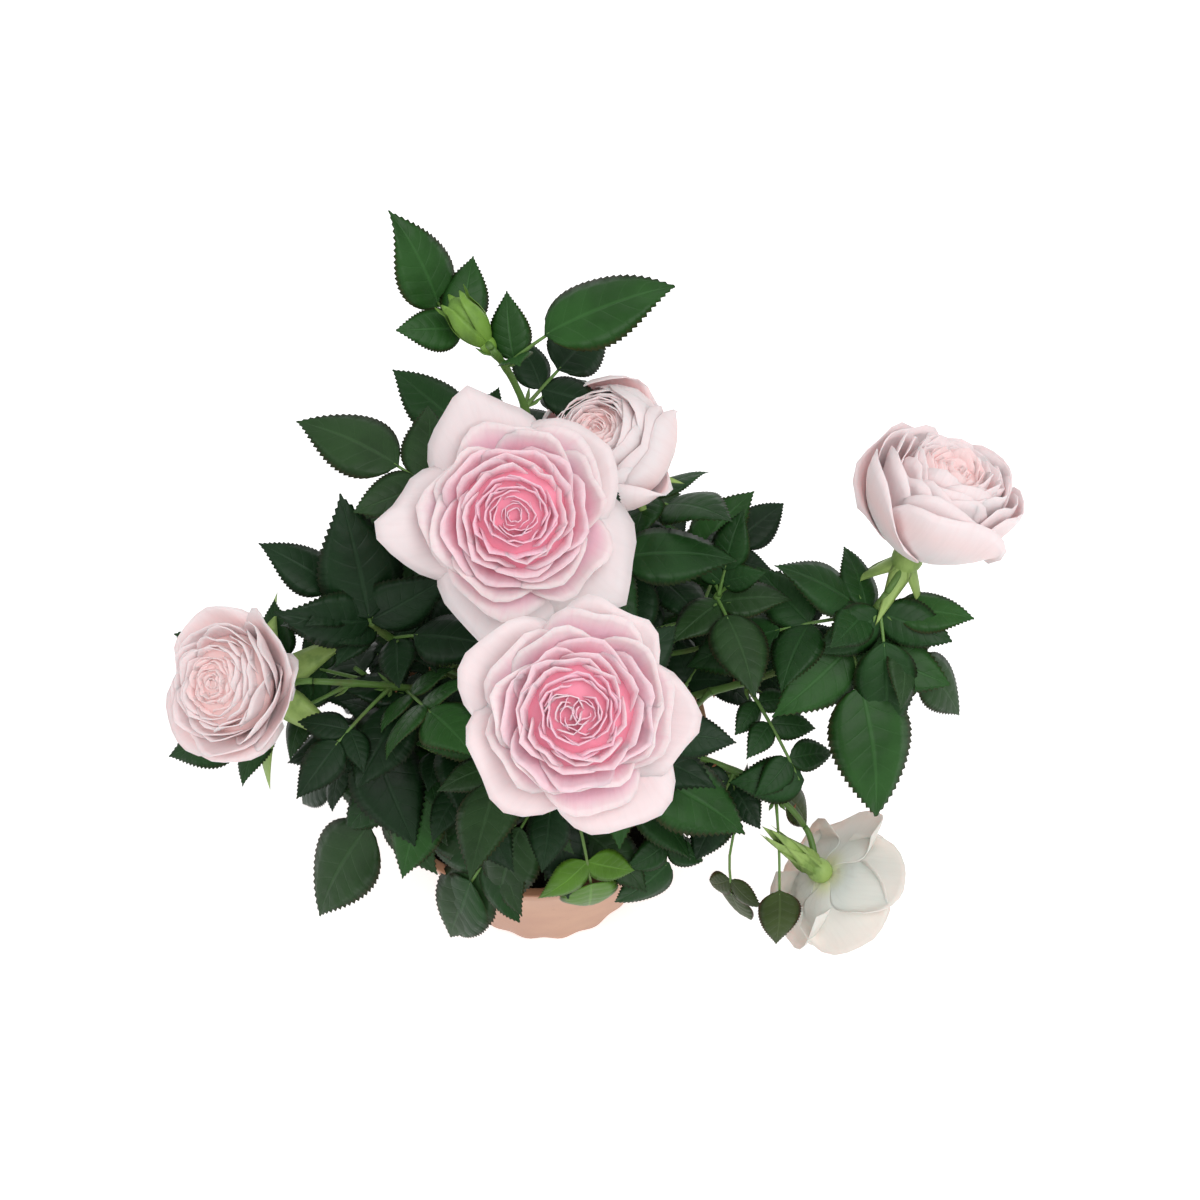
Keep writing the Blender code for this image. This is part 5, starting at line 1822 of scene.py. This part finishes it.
class ROSE_OT_grow_leaves(bpy.types.Operator):
    """Grows the toothed leaflets of every spray, joined into one piece for each shoot"""

    bl_idname = "rose.grow_leaves"
    bl_label = "Grow the leaves"

    def execute(self, context):
        settings = context.scene.rose_leaf
        _, masses = grown()
        fine = [leaflet_pattern(seed, FINE_TEETH, settings) for seed in FINE_PATTERNS]
        small = [leaflet_pattern(seed, SMALL_TEETH, settings) for seed in SMALL_PATTERNS]
        names = list(LEAF_RIMS)
        finishes = [
            leaf_finish("leaf_" + name, getattr(settings, name), settings.rim, reddish)
            for name, reddish in LEAF_RIMS.items()
        ]
        under = leaf_finish("leaf_under", settings.under, settings.rim, 0.1, roughness=0.6, veins=0.15)
        finishes.append(under)
        for shoot in SHOOTS:
            rng = random.Random(shoot.seed + 200)
            bm = mapped()
            for _, blades, finish in masses[shoot.name].leaves:
                spray = rng.choice(SPRAY_MIX) if finish == "mid" else finish
                for blade in blades:
                    patterns = fine if (blade.tip - blade.root).length > SMALL_LEAFLET else small
                    stamp(bm, rng.choice(patterns), blade_place(blade), (names.index(spray), len(names)))
            piece_from(bm, "leaves_" + shoot.name, finishes, ["foliage_" + shoot.name])
        for pattern in fine + small:
            bpy.data.meshes.remove(pattern)
        return {"FINISHED"}


class ROSE_OT_open_blooms(bpy.types.Operator):
    """Opens the blooms: cupped petals spiralling in from the guard petals to the heart"""

    bl_idname = "rose.open_blooms"
    bl_label = "Open the blooms"

    def execute(self, context):
        settings = context.scene.rose_bloom
        palettes = {}
        for bloom in FINISHED_BLOOMS:
            if bloom.palette not in palettes:
                palettes[bloom.palette] = petal_palette(bloom.palette, settings)
            base, aim = bloom_base(bloom)
            bm = mapped()
            for petal in plan_petals(bloom, settings):
                add_petal(bm, petal, base, aim)
            add_bed(bm, bloom, base, aim)
            name = bloom.name.replace("bloom", "petals")
            piece = piece_from(bm, name, palettes[bloom.palette], [bloom.name])
            shell = piece.modifiers.new("petal thickness", "SOLIDIFY")
            shell.thickness = settings.petal
            shell.offset = 0.0
        return {"FINISHED"}


class ROSE_OT_set_calyxes(bpy.types.Operator):
    """Sets each bloom on its hip, sepals and flower stalk"""

    bl_idname = "rose.set_calyxes"
    bl_label = "Set the calyxes"

    def execute(self, context):
        settings, wood = context.scene.rose_bloom, context.scene.rose_wood
        paths, _ = grown()
        pattern = lance_pattern("sepal", waist=0.24, tip=1.0, curl=-0.10, broad=0.30)
        bm = bmesh.new()
        for bloom in FINISHED_BLOOMS:
            base, aim = bloom_base(bloom)
            add_flower_stalk(bm, stalk_path(paths[bloom.shoot], base, aim, 12), STALK_RADIUS * 1.15)
            add_hip(bm, base, aim, bloom.width)
            for out, ray, face in sepal_rays(aim, bloom.sepal_turn, bloom.sepal_drop):
                tip = base + ray * bloom.long_sepals * bloom.width
                stamp(bm, pattern, blade_place(Blade(base + out * 0.8 * MM, tip, face, 0.0)), (0, 0))
        finishes = [
            stem_finish("sepal", settings.sepal, wood.green, amount=0.5),
            stem_finish("flower_stalk", wood.green, wood.stalk, amount=0.6),
        ]
        piece_from(bm, "calyxes", finishes, [bloom.name for bloom in BLOOMS])
        bpy.data.meshes.remove(pattern)
        return {"FINISHED"}


def add_flower_stalk(bm, path, end):
    """Adds a smooth stalk along the path, as thick as its shoot at the start."""
    add_tube(bm, path, stepped(STEM_TIP_RADIUS, end, len(path) - 1), STEM_SIDES, finish=1)


def add_hip(bm, base, aim, wide):
    """Adds the green hip under the petals of a bloom that wide, narrower at its neck."""
    radius, tall = HIP_RADIUS * wide, HIP_HEIGHT * wide
    made = bmesh.ops.create_uvsphere(bm, u_segments=14, v_segments=10, radius=1.0)["verts"]
    for vert in made:
        neck = 1 - HIP_NECK * max(0.0, vert.co.z)
        vert.co = Vector((vert.co.x * radius * neck, vert.co.y * radius * neck, vert.co.z * tall / 2))
    bmesh.ops.transform(bm, matrix=standing(base - aim * tall * 0.10, aim), verts=made)


class ROSE_OT_set_bud(bpy.types.Operator):
    """Sets the closed bud, wrapped in its sepals, on its stalk"""

    bl_idname = "rose.set_bud"
    bl_label = "Set the bud"

    def execute(self, context):
        settings, wood = context.scene.rose_bloom, context.scene.rose_wood
        paths, _ = grown()
        aim = Vector(BUD_AIM).normalized()
        middle = Vector(BUD_MIDDLE)
        base = middle - aim * BUD_LENGTH / 2
        bm = bmesh.new()
        add_flower_stalk(bm, stalk_path(paths[BUD_SHOOT], base + aim * MM, aim, 10), STALK_RADIUS)
        add_hip(bm, base + aim * 0.6 * MM, aim, BUD_HIP_WIDTH)
        radius = BUD_RADIUS * BUD_EGG
        egg = standing(middle, aim) @ Matrix.Diagonal((radius, radius, BUD_LENGTH * BUD_EGG_HEIGHT / 2, 1.0))
        bmesh.ops.create_uvsphere(bm, u_segments=18, v_segments=12, radius=1.0, matrix=egg)
        for number in range(SEPALS):
            add_bud_sepal(bm, base, aim, 360 * number / SEPALS)
        finishes = [
            stem_finish("bud_sepal", settings.bud, wood.green, amount=0.6),
            stem_finish("bud_stalk", wood.green, wood.stalk, amount=0.6),
        ]
        bmesh.ops.recalc_face_normals(bm, faces=bm.faces)
        piece_from(bm, "rose_bud", finishes, ["bud"])
        return {"FINISHED"}


def add_bud_sepal(bm, base, aim, turn):
    """Adds a sepal that hugs the bud and ends in a free tip."""
    outer = bmesh.ops.create_grid(bm, x_segments=4, y_segments=10, size=0.5)["verts"]
    for vert in outer:
        along, across = vert.co.y + 0.5, vert.co.x * 2
        swell = math.sin(math.pi * min(1.0, along * 0.86 + 0.06)) ** 0.7
        free = max(0.0, along - BUD_SEPAL_FREE) / (1 - BUD_SEPAL_FREE)
        radius = BUD_RADIUS * swell + 0.2 * MM + 3.0 * MM * free
        half = math.radians(BUD_SEPAL_HALF) * (1 - along) ** 0.6 + 0.04
        ray = around(aim, turn + math.degrees(across * half))
        vert.co = base + aim * BUD_LENGTH * 1.02 * along + ray * radius
    bmesh.ops.solidify(bm, geom=faces_of(outer), thickness=0.3 * MM)


class ROSE_OT_set_studio(bpy.types.Operator):
    """Sets the pale floor, the soft lights and the camera"""

    bl_idname = "rose.set_studio"
    bl_label = "Set up the studio"

    def execute(self, context):
        settings = context.scene.rose_studio
        bm = bmesh.new()
        bmesh.ops.create_grid(bm, x_segments=1, y_segments=1, size=FLOOR_SIZE)
        mesh = mesh_of(bm, "studio_floor")
        mesh.materials.append(floor_finish(settings))
        floor = placed("studio_floor", mesh)
        floor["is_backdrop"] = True
        set_sky(context.scene, settings.sky)
        for name, place, size, setting, part in LIGHTS:
            soft_light(name, place, size, getattr(settings, setting) * part)
        camera = bpy.data.cameras.new("camera")
        camera.lens = settings.lens
        camera.sensor_width = SENSOR_WIDTH
        holder = placed("camera", camera, CAMERA_PLACE)
        holder.rotation_euler = (math.radians(CAMERA_TILT), 0.0, 0.0)
        context.scene.camera = holder
        context.scene.view_settings.view_transform = "Standard"
        return {"FINISHED"}


def floor_finish(settings):
    """Matt white paint that shines a little by itself, in faint clouds."""
    made, tree, shader = principled("floor_paint", roughness=0.9, specular=0.1)
    cloud = ranged(tree, grain(tree, 3.0), 0.3, 0.7)
    painted(tree, shader, mixed(tree, cloud, settings.floor, (0.95, 0.95, 0.95)))
    preset(shader, Emission_Color=WHITE, Emission_Strength=settings.glow)
    return made


def soft_light(name, place, size, power):
    """A large square light that looks at the bush."""
    light = bpy.data.lights.new(name, "AREA")
    light.size = size
    light.energy = power
    holder = placed(name, light, place)
    holder.rotation_euler = (Vector(place) - Vector(LIT_POINT)).to_track_quat("Z", "Y").to_euler()


def set_sky(scene, strength):
    """Even white light from all sides, behind which the backdrop stays white."""
    world = bpy.data.worlds.new("studio")
    scene.world = world
    world.use_nodes = True
    tree = world.node_tree
    back = tree.nodes["Background"]
    back.inputs["Color"].default_value = WHITE
    seen = tree.nodes.new("ShaderNodeLightPath").outputs["Is Camera Ray"]
    level = maths(tree, "ADD", maths(tree, "MULTIPLY", seen, 1.0 - strength), strength)
    tree.links.new(level, back.inputs["Strength"])


OPERATORS = (
    ROSE_OT_mould_pot,
    ROSE_OT_fill_soil,
    ROSE_OT_grow_canes,
    ROSE_OT_grow_stems,
    ROSE_OT_grow_leaves,
    ROSE_OT_open_blooms,
    ROSE_OT_set_calyxes,
    ROSE_OT_set_bud,
    ROSE_OT_set_studio,
)
SETTINGS = {
    "rose_pot": RosePotSettings,
    "rose_wood": RoseWoodSettings,
    "rose_leaf": RoseLeafSettings,
    "rose_bloom": RoseBloomSettings,
    "rose_studio": RoseStudioSettings,
}


class ROSE_PT_bush(bpy.types.Panel):
    """The steps that build the bush, and their settings"""

    bl_idname = "ROSE_PT_bush"
    bl_label = "Miniature rose bush"
    bl_space_type = "VIEW_3D"
    bl_region_type = "UI"
    bl_category = "Rose bush"

    def draw(self, context):
        for name, group in SETTINGS.items():
            box = self.layout.box()
            box.label(text=group.__doc__)
            for key in group.__annotations__:
                box.prop(getattr(context.scene, name), key)
        for operator in OPERATORS:
            self.layout.operator(operator.bl_idname)


def register():
    """Adds the settings, the steps and their panel to Blender."""
    for kind in (*SETTINGS.values(), *OPERATORS, ROSE_PT_bush):
        bpy.utils.register_class(kind)
    for name, group in SETTINGS.items():
        setattr(bpy.types.Scene, name, PointerProperty(type=group))


def unregister():
    """Takes them out again."""
    for name in SETTINGS:
        delattr(bpy.types.Scene, name)
    for kind in reversed((*SETTINGS.values(), *OPERATORS, ROSE_PT_bush)):
        bpy.utils.unregister_class(kind)


def main():
    """Builds the bush in order and measures how large it is beside its solids."""
    register()
    for operator in OPERATORS:
        group, name = operator.bl_idname.split(".")
        getattr(getattr(bpy.ops, group), name)()
    boxes = {"cad": CAD_BOX, "visual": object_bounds()}
    {key: [list(corner) for corner in box] for key, box in boxes.items()}


if __name__ == "__main__":
    main()
